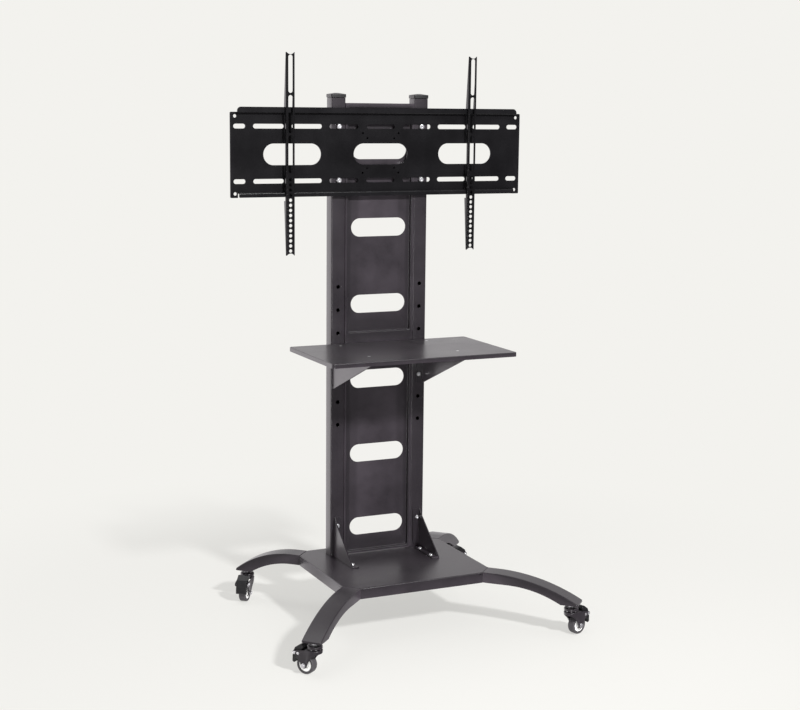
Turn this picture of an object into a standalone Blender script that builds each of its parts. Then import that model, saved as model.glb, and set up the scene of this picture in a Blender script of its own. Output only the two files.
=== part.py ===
"""Mobile TV stand on four swivel casters, built as separate named parts.

Metres, +Z up. X runs across the stand, and -Y is the side that the screen faces.
The origin lies on the floor, under the middle of the whole stand. Heights with RISE
in their name count from the base plate's top, and depths count from the column's front.
"""

import math

import bmesh
import bpy
from mathutils import Matrix, Vector

# Clearances between neighbouring pieces
CLEARANCE = 0.0003
HOLE_CLEARANCE = 0.0004

# Caster wheel and axle
WHEEL_RADIUS = 0.023
TYRE_WIDTH = 0.019
TYRE_SHOULDER = 0.0035
RIM_RADIUS = 0.0165
RIM_WIDTH = 0.0165
RIM_WALL = 0.0022
HUB_RADIUS = 0.006
WEB_THICKNESS = 0.004
AXLE_RADIUS = 0.003
AXLE_HEAD_ACROSS = 0.010
AXLE_HEAD_HEIGHT = 0.004

# Caster fork and swivel bearing
CASTER_TRAIL = 0.022
FORK_SHEET = 0.0025
FORK_CROWN_WIDTH = 0.038
FORK_AXLE_WIDTH = 0.030
FORK_AXLE_BOSS = 0.008
FORK_CROWN_GAP = 0.0139
FORK_SKIRT_DROP = 0.0050
FORK_BROW_DROP = 0.0215
FORK_BROW_RADIUS = 0.020
FORK_PIN_MARGIN = 0.004
FORK_SHOULDER_RISE = 0.0072
FORK_SHOULDER_RADIUS = 0.004
FORK_EAR_RADIUS = 0.003
FORK_THROAT_DROP = 0.006
FORK_THROAT_RADIUS = 0.008
CROWN_LENGTH = 0.019
CROWN_FLAT_SHARE = 0.8
KING_BOSS_RADIUS = 0.0115
KING_BOSS_HEIGHT = 0.0076
KING_PIN_RADIUS = 0.005
KING_PIN_HEAD_HEIGHT = 0.0035
SHOULDER_RADIUS = 0.0075
BALL_RADIUS = 0.0023
BALL_COUNT = 8
CAGE_WIRE = 0.0005
RACE_GAP = 0.0036
CUP_HEIGHT = 0.0080
CUP_SHEET = 0.0016
CUP_SHOULDER = 0.0045
CUP_WALL_SHARE = 0.5
COLLAR_ACROSS = 0.015
COLLAR_HEIGHT = 0.0082
STUD_RADIUS = 0.0049

# Caster brake: the pivot and the fork's ears stand off the tread at these angles from the trail
BRAKE_PIN_RADIUS = 0.002
BRAKE_PIN_HEAD_RADIUS = 0.0035
BRAKE_PIN_HEAD_HEIGHT = 0.0012
BRAKE_PIVOT_STANDOFF = 0.0083
BRAKE_PIVOT_ANGLE = math.radians(63.4)
FORK_EAR_STANDOFF = 0.0145
FORK_EAR_ANGLE = math.radians(48.2)
PEDAL_WIDTH = 0.028
PEDAL_TREAD_GAP = 0.004
PEDAL_SHOE_ANGLE = math.radians(6)
PEDAL_HEEL_ANGLE = math.radians(66)

# Back of the brake pedal from its pivot, from the fender's end round the release tab to the heel,
# as distance out, height and corner radius
PEDAL_BACK = (
    (0.0180, -0.0230, 0.002),
    (0.0175, -0.0090, 0.010),
    (0.0150, 0.0030, 0.008),
    (0.0110, 0.0120, 0.004),
    (-0.0030, 0.0220, 0.003),
    (-0.0070, 0.0220, 0.003),
    (-0.0132, 0.0165, 0.001),
    (-0.0110, 0.0135, 0.001),
    (-0.0050, 0.0085),
    (-0.0052, 0.0),
)

# Way that each caster trails when the stand rests, as degrees from +X
CASTER_HEADINGS = {
    "front_left": 125,
    "front_right": 17,
    "rear_left": 232,
    "rear_right": 5,
}

# Base plate
BASE_WIDTH = 0.4094
BASE_FRONT_DEPTH = 0.2795
BASE_REAR_DEPTH = 0.078
BASE_PAD_RISE = 0.0612
BASE_LIP = 0.027
BASE_SHEET = 0.003
BASE_EDGE_RADIUS = 0.0025

# Legs: pressed channels, straight at the root and arched down to a flat caster pad
LEG_WIDTH = 0.050
LEG_SHEET = 0.0025
LEG_ROOT_HEIGHT = 0.0265
LEG_TOP_STRAIGHT = 0.025
FRONT_LEG_REACH = 0.249
FRONT_LEG_UNDER_STRAIGHT = 0.065
REAR_LEG_REACH = 0.186
REAR_LEG_UNDER_STRAIGHT = 0.025
LEG_PAD_LENGTH = 0.045
LEG_PAD_THICKNESS = 0.005
LEG_TIP_THICKNESS = 0.0045
LEG_ARC_STEPS = 8
STEM_INSET = 0.0225

# Column tubes and their caps
COLUMN_HEIGHT = 1.189
COLUMN_WIDTH = 0.268
TUBE_WIDTH = 0.038
TUBE_DEPTH = 0.035
TUBE_WALL = 0.002
TUBE_CORNER = 0.003
TUBE_HOLE_RADIUS = 0.005
FIRST_HOLE_RISE = 0.352
HOLE_PITCH = 0.060
HOLE_COUNT = 7
CAP_OVERHANG = 0.0015
CAP_RIM = 0.0090
CAP_PEAK = 0.0030
CAP_PEAK_SHARE = 0.2
CAP_PLUG = 0.015

# Pressed panels between the tubes
PANEL_SHEET = 0.0015
PANEL_RECESS = 0.008
PANEL_SIDE_RIM = 0.0075
PANEL_CORNER = 0.006
PANEL_FOOT_RISE = 0.002
PANEL_TOP_DROP = 0.0125
PANEL_TOP_BAND = 0.012
PANEL_FOOT_BAND = 0.007
PANEL_JOINT_DROP = 0.010
UPPER_PANEL_FOOT_BAND = 0.036
LOWER_PANEL_TOP_BAND = 0.010
CABLE_SLOT_WIDTH = 0.153
CABLE_SLOT_HEIGHT = 0.047
CABLE_SLOT_COUNT = 6
FIRST_SLOT_RISE = 0.0727
LAST_SLOT_DROP = 0.1298

# Foot gussets
GUSSET_SHEET = 0.003
GUSSET_LINE = 0.1245
GUSSET_LENGTH = 0.121
GUSSET_TOE = 0.004
GUSSET_HEIGHT = 0.106
GUSSET_FLANGE_WIDTH = 0.021
GUSSET_RELIEF = 0.010
GUSSET_SHOULDER_WIDTH = 0.010
GUSSET_SHOULDER_DROP = 0.014
GUSSET_SHOULDER_RADIUS = 0.012
FLANGE_CORNER = 0.004
GUSSET_BOLT_RISE = 0.082
GUSSET_BOLT_DEPTHS = (0.030, 0.096)

# Bolts of the gussets and brackets, and the mount plate's button heads
SMALL_BOLT_RADIUS = 0.003
PLATE_BOLT_RADIUS = 0.004
PLATE_BOLT_HEAD_RADIUS = 0.007
PLATE_BOLT_HEAD_HEIGHT = 0.0044
PLATE_BOLT_CROWN_SHARE = 0.7
PLATE_BOLT_SOCKET = 0.005
PLATE_BOLT_SOCKET_FLOOR_SHARE = 0.35
PLATE_BOLT_GRIP = 0.010

# Shelf, its brackets and screws
SHELF_WIDTH = 0.500
SHELF_DEPTH = 0.290
SHELF_SHEET = 0.002
SHELF_LIP = 0.011
SHELF_CORNER = 0.008
SHELF_EDGE_RADIUS = 0.0018
SHELF_BOLT_HOLE = 2
SHELF_ABOVE_BOLT = 0.093
SHELF_REAR_GAP = 0.0008
SHELF_SCREW_DEPTHS = (0.034, 0.213)
SHELF_SCREW_INSET = 0.005
SHELF_SCREW_RADIUS = 0.00225
SHELF_SCREW_HEAD_RADIUS = 0.00425
BRACKET_SHEET = 0.003
BRACKET_LINE = 0.1295
BRACKET_LENGTH = 0.255
BRACKET_FOOT_DROP = 0.024
BRACKET_NOSE = 0.012
BRACKET_NOSE_RADIUS = 0.006
BRACKET_FLANGE_WIDTH = 0.021

# Mount plate
PLATE_WIDTH = 0.807
PLATE_HEIGHT = 0.2095
PLATE_SHEET = 0.0025
PLATE_TOP_DROP = 0.0365
PLATE_BEND_RADIUS = 0.001
PLATE_TAB_WIDTH = 0.0155
LIP_JOGGLE = 0.0102
UPPER_LIP = 0.015
LOWER_LIP = 0.012
LOWER_LIP_RISE = 0.001
LIP_CORNER = 0.010
LOWER_LIP_CORNER = 0.002
TAB_HOLE_RADIUS = 0.0042
TAB_HOLE_SIDE_INSET = 0.0125
TAB_HOLE_INSET = 0.010
TAB_HOLE_MARGIN = 0.003

# Slots and ovals of the mount plate: the bolts' slots follow the tubes, and the outer ones lie at
# these shares of the way from the bolts' slots to the plate's side
SLOT_HEIGHT = 0.0115
SLOT_ROW_DROP = 0.0345
SLOT_ROW_SPACING = 0.135
BOLT_SLOT_INWARDS = 0.053
BOLT_SLOT_OUTWARDS = 0.026
CENTRE_SLOT_GAP = 0.0225
OUTER_SLOT_SHARES = ((0.078, 0.387), (0.467, 0.773), (0.850, 0.968))
OVAL_HEIGHT = 0.053
OVAL_DROP = 0.1035
CENTRE_OVAL_MARGIN = 0.021
SIDE_OVAL_SHARES = (0.0876, 0.6724)
VESA_CENTRE_DROP = 0.101
VESA_SQUARES = (0.100, 0.075)
VESA_HOLE_RADIUS = 0.0027

# Hooked channel arms that hold the screen
ARM_CENTRE = 0.2525
ARM_WIDTH = 0.0234
ARM_LENGTH = 0.4995
ARM_RISE_ABOVE_PLATE = 0.1455
ARM_SHEET = 0.002
ARM_BEND_RADIUS = 0.0008
ARM_FRONT_STANDOFF = 0.008
ARM_REAR_GAP = 0.0052
ARM_TIP_DEPTH = 0.0035
ARM_NOTCH_DEPTH = 0.005
HOOK_REACH = 0.0117
ARM_LIFT_GAP = 0.010
ARM_SLOT_COUNT = 3
ARM_SLOT_WIDTH = 0.0115
ARM_SLOT_BRIDGE = 0.0053
ARM_SLOT_PITCH = 0.0979
ARM_FIRST_SLOT_INSET = 0.006
ARM_HOLE_COUNT = 15
ARM_HOLE_RADIUS = 0.00425
ARM_FIRST_HOLE_GAP = 0.0166
ARM_LAST_HOLE_RISE = 0.0115

# Colour, roughness and metallic value of each finish
BLACK_STEEL = ((0.018, 0.017, 0.019), 0.42, 0.35)
BLACK_PLASTIC = ((0.011, 0.011, 0.012), 0.50, 0.0)
GREY_RUBBER = ((0.075, 0.068, 0.075), 0.72, 0.0)
WHITE_PLASTIC = ((0.72, 0.72, 0.70), 0.38, 0.0)
BRIGHT_ZINC = ((0.62, 0.62, 0.64), 0.28, 1.0)

# Sides of round pieces
WHEEL_SIDES = 16
BEARING_SIDES = 12
SHAFT_SIDES = 12
HOLE_SIDES = 8
BEAD_SIDES = 5
ARC_STEPS = 4
OVAL_STEPS = 7
CORNER_STEPS = 2
SMOOTH_ANGLE = math.radians(32)

# Heights and lines that follow from the sizes above
AXLE_HEIGHT = WHEEL_RADIUS
CROWN_UNDERSIDE = 2 * WHEEL_RADIUS + FORK_CROWN_GAP
CROWN_TOP = CROWN_UNDERSIDE + FORK_SHEET
KING_BOSS_TOP = CROWN_TOP + KING_BOSS_HEIGHT
CUP_RIM = CROWN_TOP + RACE_GAP
CUP_TOP = CUP_RIM + CUP_HEIGHT
COLLAR_BOTTOM = CUP_TOP + CLEARANCE
PAD_HEIGHT = COLLAR_BOTTOM + COLLAR_HEIGHT + CLEARANCE
BASE_TOP = PAD_HEIGHT + BASE_PAD_RISE
COLUMN_TOP = BASE_TOP + COLUMN_HEIGHT
TUBE_LINE = (COLUMN_WIDTH - TUBE_WIDTH) / 2
PLATE_TOP = COLUMN_TOP - PLATE_TOP_DROP
PLATE_BOTTOM = PLATE_TOP - PLATE_HEIGHT
PLATE_FRONT = -(CLEARANCE + PLATE_SHEET)
LIP_HALF = PLATE_WIDTH / 2 - PLATE_TAB_WIDTH
LOWER_LIP_HALF = PLATE_WIDTH / 2 - TAB_HOLE_SIDE_INSET - TAB_HOLE_RADIUS - TAB_HOLE_MARGIN
LIP_FRONT = PLATE_FRONT - LIP_JOGGLE
LIP_TOP = PLATE_TOP - PLATE_SHEET + UPPER_LIP
LOWER_LIP_BOTTOM = PLATE_BOTTOM + LOWER_LIP_RISE
LOWER_LEDGE_TOP = LOWER_LIP_BOTTOM + LOWER_LIP
SLOT_ROWS = (PLATE_TOP - SLOT_ROW_DROP, PLATE_TOP - SLOT_ROW_DROP - SLOT_ROW_SPACING)
SHELF_BOLT_HEIGHT = BASE_TOP + FIRST_HOLE_RISE + SHELF_BOLT_HOLE * HOLE_PITCH
SHELF_TOP = SHELF_BOLT_HEIGHT + SHELF_ABOVE_BOLT
SHELF_SCREW_LINE = BRACKET_LINE - BRACKET_SHEET - SHELF_SCREW_INSET
CHAMFER = LEG_WIDTH / math.sqrt(2)
AXLE = Vector((CASTER_TRAIL, AXLE_HEIGHT))


def polar(centre, distance, angle):
    """Point at a distance and an angle from a centre, in the plane of an outline."""
    return Vector((centre[0] + distance * math.cos(angle), centre[1] + distance * math.sin(angle)))


BRAKE_PIVOT = polar(AXLE, WHEEL_RADIUS + BRAKE_PIVOT_STANDOFF, BRAKE_PIVOT_ANGLE)
FORK_EAR = polar(AXLE, WHEEL_RADIUS + FORK_EAR_STANDOFF, FORK_EAR_ANGLE)


def circle(radius, sides, centre=(0.0, 0.0)):
    """Regular outline that starts at its lowest point."""
    return [polar(centre, radius, 2 * math.pi * side / sides - math.pi / 2) for side in range(sides)]


def hexagon(across, sides=SHAFT_SIDES):
    """Hexagon by its width across flats, with as many points as the circles that it joins."""
    points = []
    for side in range(sides):
        angle = 2 * math.pi * side / sides - math.pi / 2
        from_flat = (angle + math.pi / 2) % (math.pi / 3) - math.pi / 6
        points.append(polar((0.0, 0.0), across / 2 / math.cos(from_flat), angle))
    return points


def slot(left, right, height, level, steps=ARC_STEPS):
    """Outline with round ends between two limits, centred on a level."""
    radius = height / 2
    ends = ((right - radius, -math.pi / 2), (left + radius, math.pi / 2))
    return [polar((middle, level), radius, start + math.pi * step / steps)
            for middle, start in ends for step in range(steps + 1)]


def fillet(corners, steps=CORNER_STEPS):
    """Round a closed outline; a corner is (u, v) where sharp and (u, v, radius) where round."""
    outline = []
    for index, corner in enumerate(corners):
        here = Vector(corner[:2])
        radius = corner[2] if len(corner) > 2 else 0.0
        if radius <= 0.0:
            outline.append(here)
            continue
        back = (Vector(corners[index - 1][:2]) - here).normalized()
        ahead = (Vector(corners[(index + 1) % len(corners)][:2]) - here).normalized()
        half_angle = back.angle(ahead) / 2
        centre = here + (back + ahead).normalized() * radius / math.sin(half_angle)
        start = here + back * radius / math.tan(half_angle) - centre
        end = here + ahead * radius / math.tan(half_angle) - centre
        sweep = math.atan2(start.x * end.y - start.y * end.x, start.dot(end))
        outline += [centre + Matrix.Rotation(sweep * step / steps, 2) @ start for step in range(steps + 1)]
    return outline


def rectangle(width, depth, radius=0.0, centre=(0.0, 0.0)):
    """Rectangle with round corners."""
    signs = ((-1, -1), (1, -1), (1, 1), (-1, 1))
    return fillet([(centre[0] + u * width / 2, centre[1] + v * depth / 2, radius) for u, v in signs])


def inset(outline, distance):
    """Move every side of a closed outline inwards by a distance."""
    moved = []
    for index, point in enumerate(outline):
        behind = (point - outline[index - 1]).normalized()
        ahead = (outline[(index + 1) % len(outline)] - point).normalized()
        normals = Vector((-behind.y, behind.x)), Vector((-ahead.y, ahead.x))
        moved.append(point + (normals[0] + normals[1]) * distance / (1 + normals[0].dot(normals[1])))
    return moved


def folded_sheet(path, thickness, bend_radius):
    """Outline of a folded sheet whose middle line follows a path with square corners."""
    points = [Vector(point) for point in path]
    last = len(points) - 1
    left, right = [], []
    for index, point in enumerate(points):
        ahead = points[min(index + 1, last)] - points[min(index, last - 1)]
        behind = points[max(index, 1)] - points[max(index - 1, 0)]
        normals = [Vector((-way.y, way.x)).normalized() for way in (behind, ahead)]
        offset = (normals[0] + normals[1]) * thickness / 2 / (1 + normals[0].dot(normals[1]))
        turn = behind.x * ahead.y - behind.y * ahead.x
        inside, outside = bend_radius, bend_radius + thickness
        if index in (0, last):
            inside = outside = 0.0
        radii = (inside, outside) if turn > 0 else (outside, inside)
        left.append((*(point + offset), radii[0]))
        right.append((*(point - offset), radii[1]))
    return fillet(left + right[::-1])


def skin(mesh, rings, closed=False):
    """Join rings of points with quads, and cap the ends unless the rings close on themselves."""
    rings = [[mesh.verts.new(point) for point in ring] for ring in rings]
    for lower, upper in zip(rings, rings[1:] + rings[:1] if closed else rings[1:]):
        for index in range(len(lower)):
            mesh.faces.new((lower[index - 1], lower[index], upper[index], upper[index - 1]))
    if not closed:
        mesh.faces.new(rings[0])
        mesh.faces.new(rings[-1])


def add_object(name, mesh):
    """Turn a finished bmesh into an object of the scene."""
    bmesh.ops.recalc_face_normals(mesh, faces=mesh.faces)
    data = bpy.data.meshes.new(name)
    mesh.to_mesh(data)
    mesh.free()
    piece = bpy.data.objects.new(name, data)
    bpy.context.scene.collection.objects.link(piece)
    return piece


PLANES = {
    "XY": lambda u, v, w: (u, v, w),
    "XZ": lambda u, v, w: (u, w, v),
    "YZ": lambda u, v, w: (w, u, v),
}


def prisms(name, outlines, low, high, plane="XY"):
    """One object with a straight prism on each outline, from low to high across the plane."""
    mesh = bmesh.new()
    for outline in outlines:
        skin(mesh, [[PLANES[plane](*point, level) for point in outline] for level in (low, high)])
    return add_object(name, mesh)


def loft(name, levels, plane="XY", closed=False):
    """Skin over pairs of an outline and its height."""
    mesh = bmesh.new()
    skin(mesh, [[PLANES[plane](*point, level) for point in outline] for outline, level in levels], closed)
    return add_object(name, mesh)


def turned(name, profile, sides, plane="XY", closed=False):
    """Round piece from pairs of radius and height; a closed profile leaves a bore."""
    return loft(name, [(circle(radius, sides), height) for radius, height in profile], plane, closed)


def combine(piece, tool, operation="DIFFERENCE"):
    """Apply a Boolean of the tool to the piece, and remove the tool."""
    modifier = piece.modifiers.new(operation, "BOOLEAN")
    modifier.operation = operation
    modifier.solver = "EXACT"
    modifier.object = tool
    evaluated = piece.evaluated_get(bpy.context.evaluated_depsgraph_get())
    result = bpy.data.meshes.new_from_object(evaluated)
    piece.modifiers.clear()
    spent = piece.data
    piece.data = result
    bpy.data.meshes.remove(spent)
    bpy.data.objects.remove(tool)
    return piece


def add_empty(name, parent, location, heading=0.0):
    """Empty that carries the pieces of one moving part."""
    empty = bpy.data.objects.new(name, None)
    empty.empty_display_size = 0.02
    bpy.context.scene.collection.objects.link(empty)
    empty.parent = parent
    empty.location = location
    empty.rotation_euler.z = heading
    return empty


def place(piece, name, finish, parent, location=(0.0, 0.0, 0.0), heading=0.0):
    """Name a piece, give it its own material and set it in its place under its parent."""
    colour, roughness, metallic = finish
    material = bpy.data.materials.new(name)
    material.use_nodes = True
    shader = material.node_tree.nodes["Principled BSDF"]
    shader.inputs["Base Color"].default_value = (*colour, 1.0)
    shader.inputs["Roughness"].default_value = roughness
    shader.inputs["Metallic"].default_value = metallic
    piece.name = name
    piece.data.materials.clear()
    piece.data.materials.append(material)
    piece.data.shade_smooth()
    piece.data.set_sharp_from_angle(angle=SMOOTH_ANGLE)
    piece.parent = parent
    piece.location = location
    piece.rotation_euler.z = heading
    return piece


def tray(name, outline, top, depth, sheet, edge_radius):
    """Sheet with its rim folded down all round, and the fold rounded."""
    levels = []
    for step in range(CORNER_STEPS + 1):
        angle = math.pi / 2 * step / CORNER_STEPS
        levels.append((inset(outline, edge_radius * (1 - math.sin(angle))),
                       top - edge_radius * (1 - math.cos(angle))))
    inner = inset(outline, sheet)
    levels += [(outline, top - depth), (inner, top - depth), (inner, top - sheet)]
    return loft(name, levels)


def make_base_plate(stand):
    """Folded base plate with a chamfered corner for each leg."""
    side, front, rear = BASE_WIDTH / 2, -BASE_FRONT_DEPTH, BASE_REAR_DEPTH
    outline = [Vector(corner) for corner in (
        (-side + CHAMFER, front), (side - CHAMFER, front),
        (side, front + CHAMFER), (side, rear - CHAMFER),
        (side - CHAMFER, rear), (-side + CHAMFER, rear),
        (-side, rear - CHAMFER), (-side, front + CHAMFER))]
    plate = tray("base", outline, BASE_TOP, BASE_LIP, BASE_SHEET, BASE_EDGE_RADIUS)
    holes = [circle(SMALL_BOLT_RADIUS + HOLE_CLEARANCE, HOLE_SIDES, (sign * gusset_bolt_line(), -depth))
             for sign in (-1, 1) for depth in GUSSET_BOLT_DEPTHS]
    combine(plate, prisms("tool", holes, BASE_TOP - 2 * BASE_SHEET, BASE_TOP + BASE_SHEET))
    place(plate, "base_plate", BLACK_STEEL, stand)


def arc_down(start, end, steps):
    """Arc that leaves a start level and comes down to an end, with its centre below."""
    run, fall = end[0] - start[0], start[1] - end[1]
    radius = (run * run + fall * fall) / (2 * fall)
    centre = (start[0], start[1] - radius)
    sweep = math.asin(run / radius)
    return [polar(centre, radius, math.pi / 2 - sweep * step / steps) for step in range(steps + 1)]


def arc_under(start, end, steps, offset, floor):
    """Arc at an offset inside the one that comes down to an end, as far as it stays above a floor."""
    run, fall = end[0] - start[0], start[1] - end[1]
    radius = (run * run + fall * fall) / (2 * fall)
    centre = (start[0], start[1] - radius)
    sweep = math.acos((floor - centre[1]) / (radius - offset))
    return [polar(centre, radius - offset, math.pi / 2 - sweep * step / steps) for step in range(steps + 1)]


def make_leg(name, stand, root, heading, reach, under_straight):
    """Pressed leg: an inverted channel that arches down to a flat pad for its caster."""
    top, pad_top = BASE_TOP, PAD_HEIGHT + LEG_PAD_THICKNESS
    pad_start = reach - LEG_PAD_LENGTH
    crest, tip = (LEG_TOP_STRAIGHT, top), (reach, PAD_HEIGHT + LEG_TIP_THICKNESS)
    under = arc_down((under_straight, top - LEG_ROOT_HEIGHT), (pad_start, PAD_HEIGHT), LEG_ARC_STEPS // 2)
    outline = [Vector((0.0, top)), *arc_down(crest, tip, LEG_ARC_STEPS), Vector((reach, PAD_HEIGHT))]
    outline += under[::-1] + [Vector((0.0, top - LEG_ROOT_HEIGHT))]
    leg = prisms(name, [outline], -LEG_WIDTH / 2, LEG_WIDTH / 2, "XZ")
    ceiling = arc_under(crest, tip, LEG_ARC_STEPS, LEG_SHEET, pad_top)
    below = PAD_HEIGHT - LEG_WIDTH
    hollow = [Vector((-LEG_SHEET, top - LEG_SHEET)), *ceiling, Vector((pad_start, pad_top)),
              Vector((pad_start, below)), Vector((-LEG_SHEET, below))]
    inside = LEG_WIDTH / 2 - LEG_SHEET
    combine(leg, prisms("tool", [hollow], -inside, inside, "XZ"))
    bore = circle(STUD_RADIUS + HOLE_CLEARANCE, SHAFT_SIDES, (reach - STEM_INSET, 0.0))
    combine(leg, prisms("tool", [bore], PAD_HEIGHT - LEG_SHEET, pad_top + LEG_SHEET / 2))
    place(leg, name, BLACK_STEEL, stand, root, heading)


def make_upright(name, stand, sign):
    """Rectangular column tube with its row of holes and the bolts' holes in the front wall."""
    centre = (sign * TUBE_LINE, TUBE_DEPTH / 2)
    outer = rectangle(TUBE_WIDTH, TUBE_DEPTH, TUBE_CORNER, centre)
    inner = inset(outer, TUBE_WALL)
    low, high = BASE_TOP + CLEARANCE, COLUMN_TOP
    tube = loft(name, [(outer, low), (outer, high), (inner, high), (inner, low)], closed=True)
    rows = [BASE_TOP + FIRST_HOLE_RISE + HOLE_PITCH * row for row in range(HOLE_COUNT)]
    rows += [BASE_TOP + GUSSET_BOLT_RISE, *SLOT_ROWS]
    holes = [circle(TUBE_HOLE_RADIUS, HOLE_SIDES, (centre[0], height)) for height in rows]
    combine(tube, prisms("tool", holes, -TUBE_WALL, 2 * TUBE_WALL, "XZ"))
    place(tube, name, BLACK_STEEL, stand)


def make_upright_cap(name, stand, sign):
    """Plastic cap with a plug that fits the tube, a rim and a low pyramid."""
    centre = (sign * TUBE_LINE, TUBE_DEPTH / 2)
    tube = rectangle(TUBE_WIDTH, TUBE_DEPTH, TUBE_CORNER, centre)
    plug = inset(tube, TUBE_WALL + CLEARANCE)
    rim = inset(tube, -CAP_OVERHANG)
    peak = rectangle(CAP_PEAK_SHARE * TUBE_WIDTH, CAP_PEAK_SHARE * TUBE_DEPTH, TUBE_CORNER / 2, centre)
    seat = COLUMN_TOP + CLEARANCE
    levels = [
        (plug, seat - CAP_PLUG),
        (plug, seat),
        (tube, seat),
        (rim, seat + CAP_OVERHANG),
        (rim, seat + CAP_RIM),
        (peak, seat + CAP_RIM + CAP_PEAK),
    ]
    place(loft(name, levels), name, BLACK_PLASTIC, stand)


def cable_slot_heights():
    """Centre heights of the cable slots, spread evenly over the column."""
    first, last = BASE_TOP + FIRST_SLOT_RISE, COLUMN_TOP - LAST_SLOT_DROP
    return [first + (last - first) * index / (CABLE_SLOT_COUNT - 1) for index in range(CABLE_SLOT_COUNT)]


def make_panel(name, stand, low, high, foot_band, top_band, slot_heights):
    """Pressed panel: a flush border round a recessed field with oval cable slots."""
    half = COLUMN_WIDTH / 2 - TUBE_WIDTH - CLEARANCE
    border = [Vector(corner) for corner in ((-half, low), (half, low), (half, high), (-half, high))]
    panel = prisms(name, [border], 0.0, PANEL_SHEET, "XZ")
    height = high - low - foot_band - top_band
    recess = rectangle(2 * (half - PANEL_SIDE_RIM), height, PANEL_CORNER,
                       (0.0, low + foot_band + height / 2))
    shell = inset(recess, -PANEL_SHEET)
    combine(panel, prisms("tool", [shell], PANEL_SHEET / 2, PANEL_RECESS + PANEL_SHEET, "XZ"), "UNION")
    combine(panel, prisms("tool", [recess], -PANEL_SHEET, PANEL_RECESS, "XZ"))
    reach = CABLE_SLOT_WIDTH / 2
    slots = [slot(-reach, reach, CABLE_SLOT_HEIGHT, level, OVAL_STEPS) for level in slot_heights]
    combine(panel, prisms("tool", slots, 0.0, 2 * PANEL_RECESS, "XZ"))
    place(panel, name, BLACK_STEEL, stand)


def gusset_bolt_line():
    """Distance of the foot gussets' bolts from the middle of the stand."""
    return GUSSET_LINE - GUSSET_SHEET - GUSSET_FLANGE_WIDTH / 2 + GUSSET_SHEET / 2


def flange_outline(sign, line, width, low, high, corner):
    """Outline of a flange that runs inwards from a web on one side of the stand."""
    outer, inner = sign * line, sign * (line - width)
    corners = [(outer, low), (inner, low, corner), (inner, high, corner), (outer, high)]
    return fillet(corners)


def make_foot_gusset(name, stand, sign):
    """Gusset with one flange bolted to the tube and the other to the base plate."""
    floor, wall = BASE_TOP + CLEARANCE, -CLEARANCE
    top = BASE_TOP + GUSSET_HEIGHT
    sheet = GUSSET_SHEET
    web = fillet([(wall, floor), (-GUSSET_LENGTH, floor), (-GUSSET_LENGTH, floor + GUSSET_TOE),
                  (wall - sheet - GUSSET_SHOULDER_WIDTH, top - GUSSET_SHOULDER_DROP, GUSSET_SHOULDER_RADIUS),
                  (wall - sheet, top), (wall, top)])
    outside, inside = sign * GUSSET_LINE, sign * (GUSSET_LINE - sheet)
    gusset = prisms(name, [web], min(outside, inside), max(outside, inside), "YZ")
    upright_flange = flange_outline(sign, GUSSET_LINE, GUSSET_FLANGE_WIDTH, floor + GUSSET_RELIEF, top,
                                    FLANGE_CORNER)
    combine(gusset, prisms("tool", [upright_flange], wall - sheet, wall, "XZ"), "UNION")
    base_flange = flange_outline(sign, GUSSET_LINE, GUSSET_FLANGE_WIDTH, -GUSSET_LENGTH,
                                 wall - GUSSET_RELIEF, FLANGE_CORNER)
    combine(gusset, prisms("tool", [base_flange], floor, floor + sheet), "UNION")
    line = sign * gusset_bolt_line()
    size = SMALL_BOLT_RADIUS + HOLE_CLEARANCE
    base_holes = [circle(size, HOLE_SIDES, (line, -depth)) for depth in GUSSET_BOLT_DEPTHS]
    combine(gusset, prisms("tool", base_holes, floor - sheet, floor + 2 * sheet))
    tube_hole = circle(size, HOLE_SIDES, (sign * TUBE_LINE, BASE_TOP + GUSSET_BOLT_RISE))
    combine(gusset, prisms("tool", [tube_hole], wall - 2 * sheet, wall + sheet, "XZ"))
    place(gusset, name, BLACK_STEEL, stand)


def make_shelf(stand):
    """Shelf with its rim folded down all round and countersunk holes over the brackets."""
    centre = (0.0, -SHELF_REAR_GAP - SHELF_DEPTH / 2)
    outline = rectangle(SHELF_WIDTH, SHELF_DEPTH, SHELF_CORNER, centre)
    shelf = tray("shelf", outline, SHELF_TOP, SHELF_LIP, SHELF_SHEET, SHELF_EDGE_RADIUS)
    mesh = bmesh.new()
    head = SHELF_SCREW_HEAD_RADIUS + HOLE_CLEARANCE
    shaft = SHELF_SCREW_RADIUS + HOLE_CLEARANCE
    cone = SHELF_SCREW_HEAD_RADIUS - SHELF_SCREW_RADIUS
    for sign in (-1, 1):
        for depth in SHELF_SCREW_DEPTHS:
            spot = (sign * SHELF_SCREW_LINE, -depth)
            levels = [(shaft, -2 * SHELF_SHEET), (shaft, -cone), (head, 0.0), (head, SHELF_SHEET)]
            skin(mesh, [[(*point, SHELF_TOP + level) for point in circle(radius, HOLE_SIDES, spot)]
                        for radius, level in levels])
    combine(shelf, add_object("tool", mesh))
    place(shelf, "shelf", BLACK_STEEL, stand)


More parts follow.
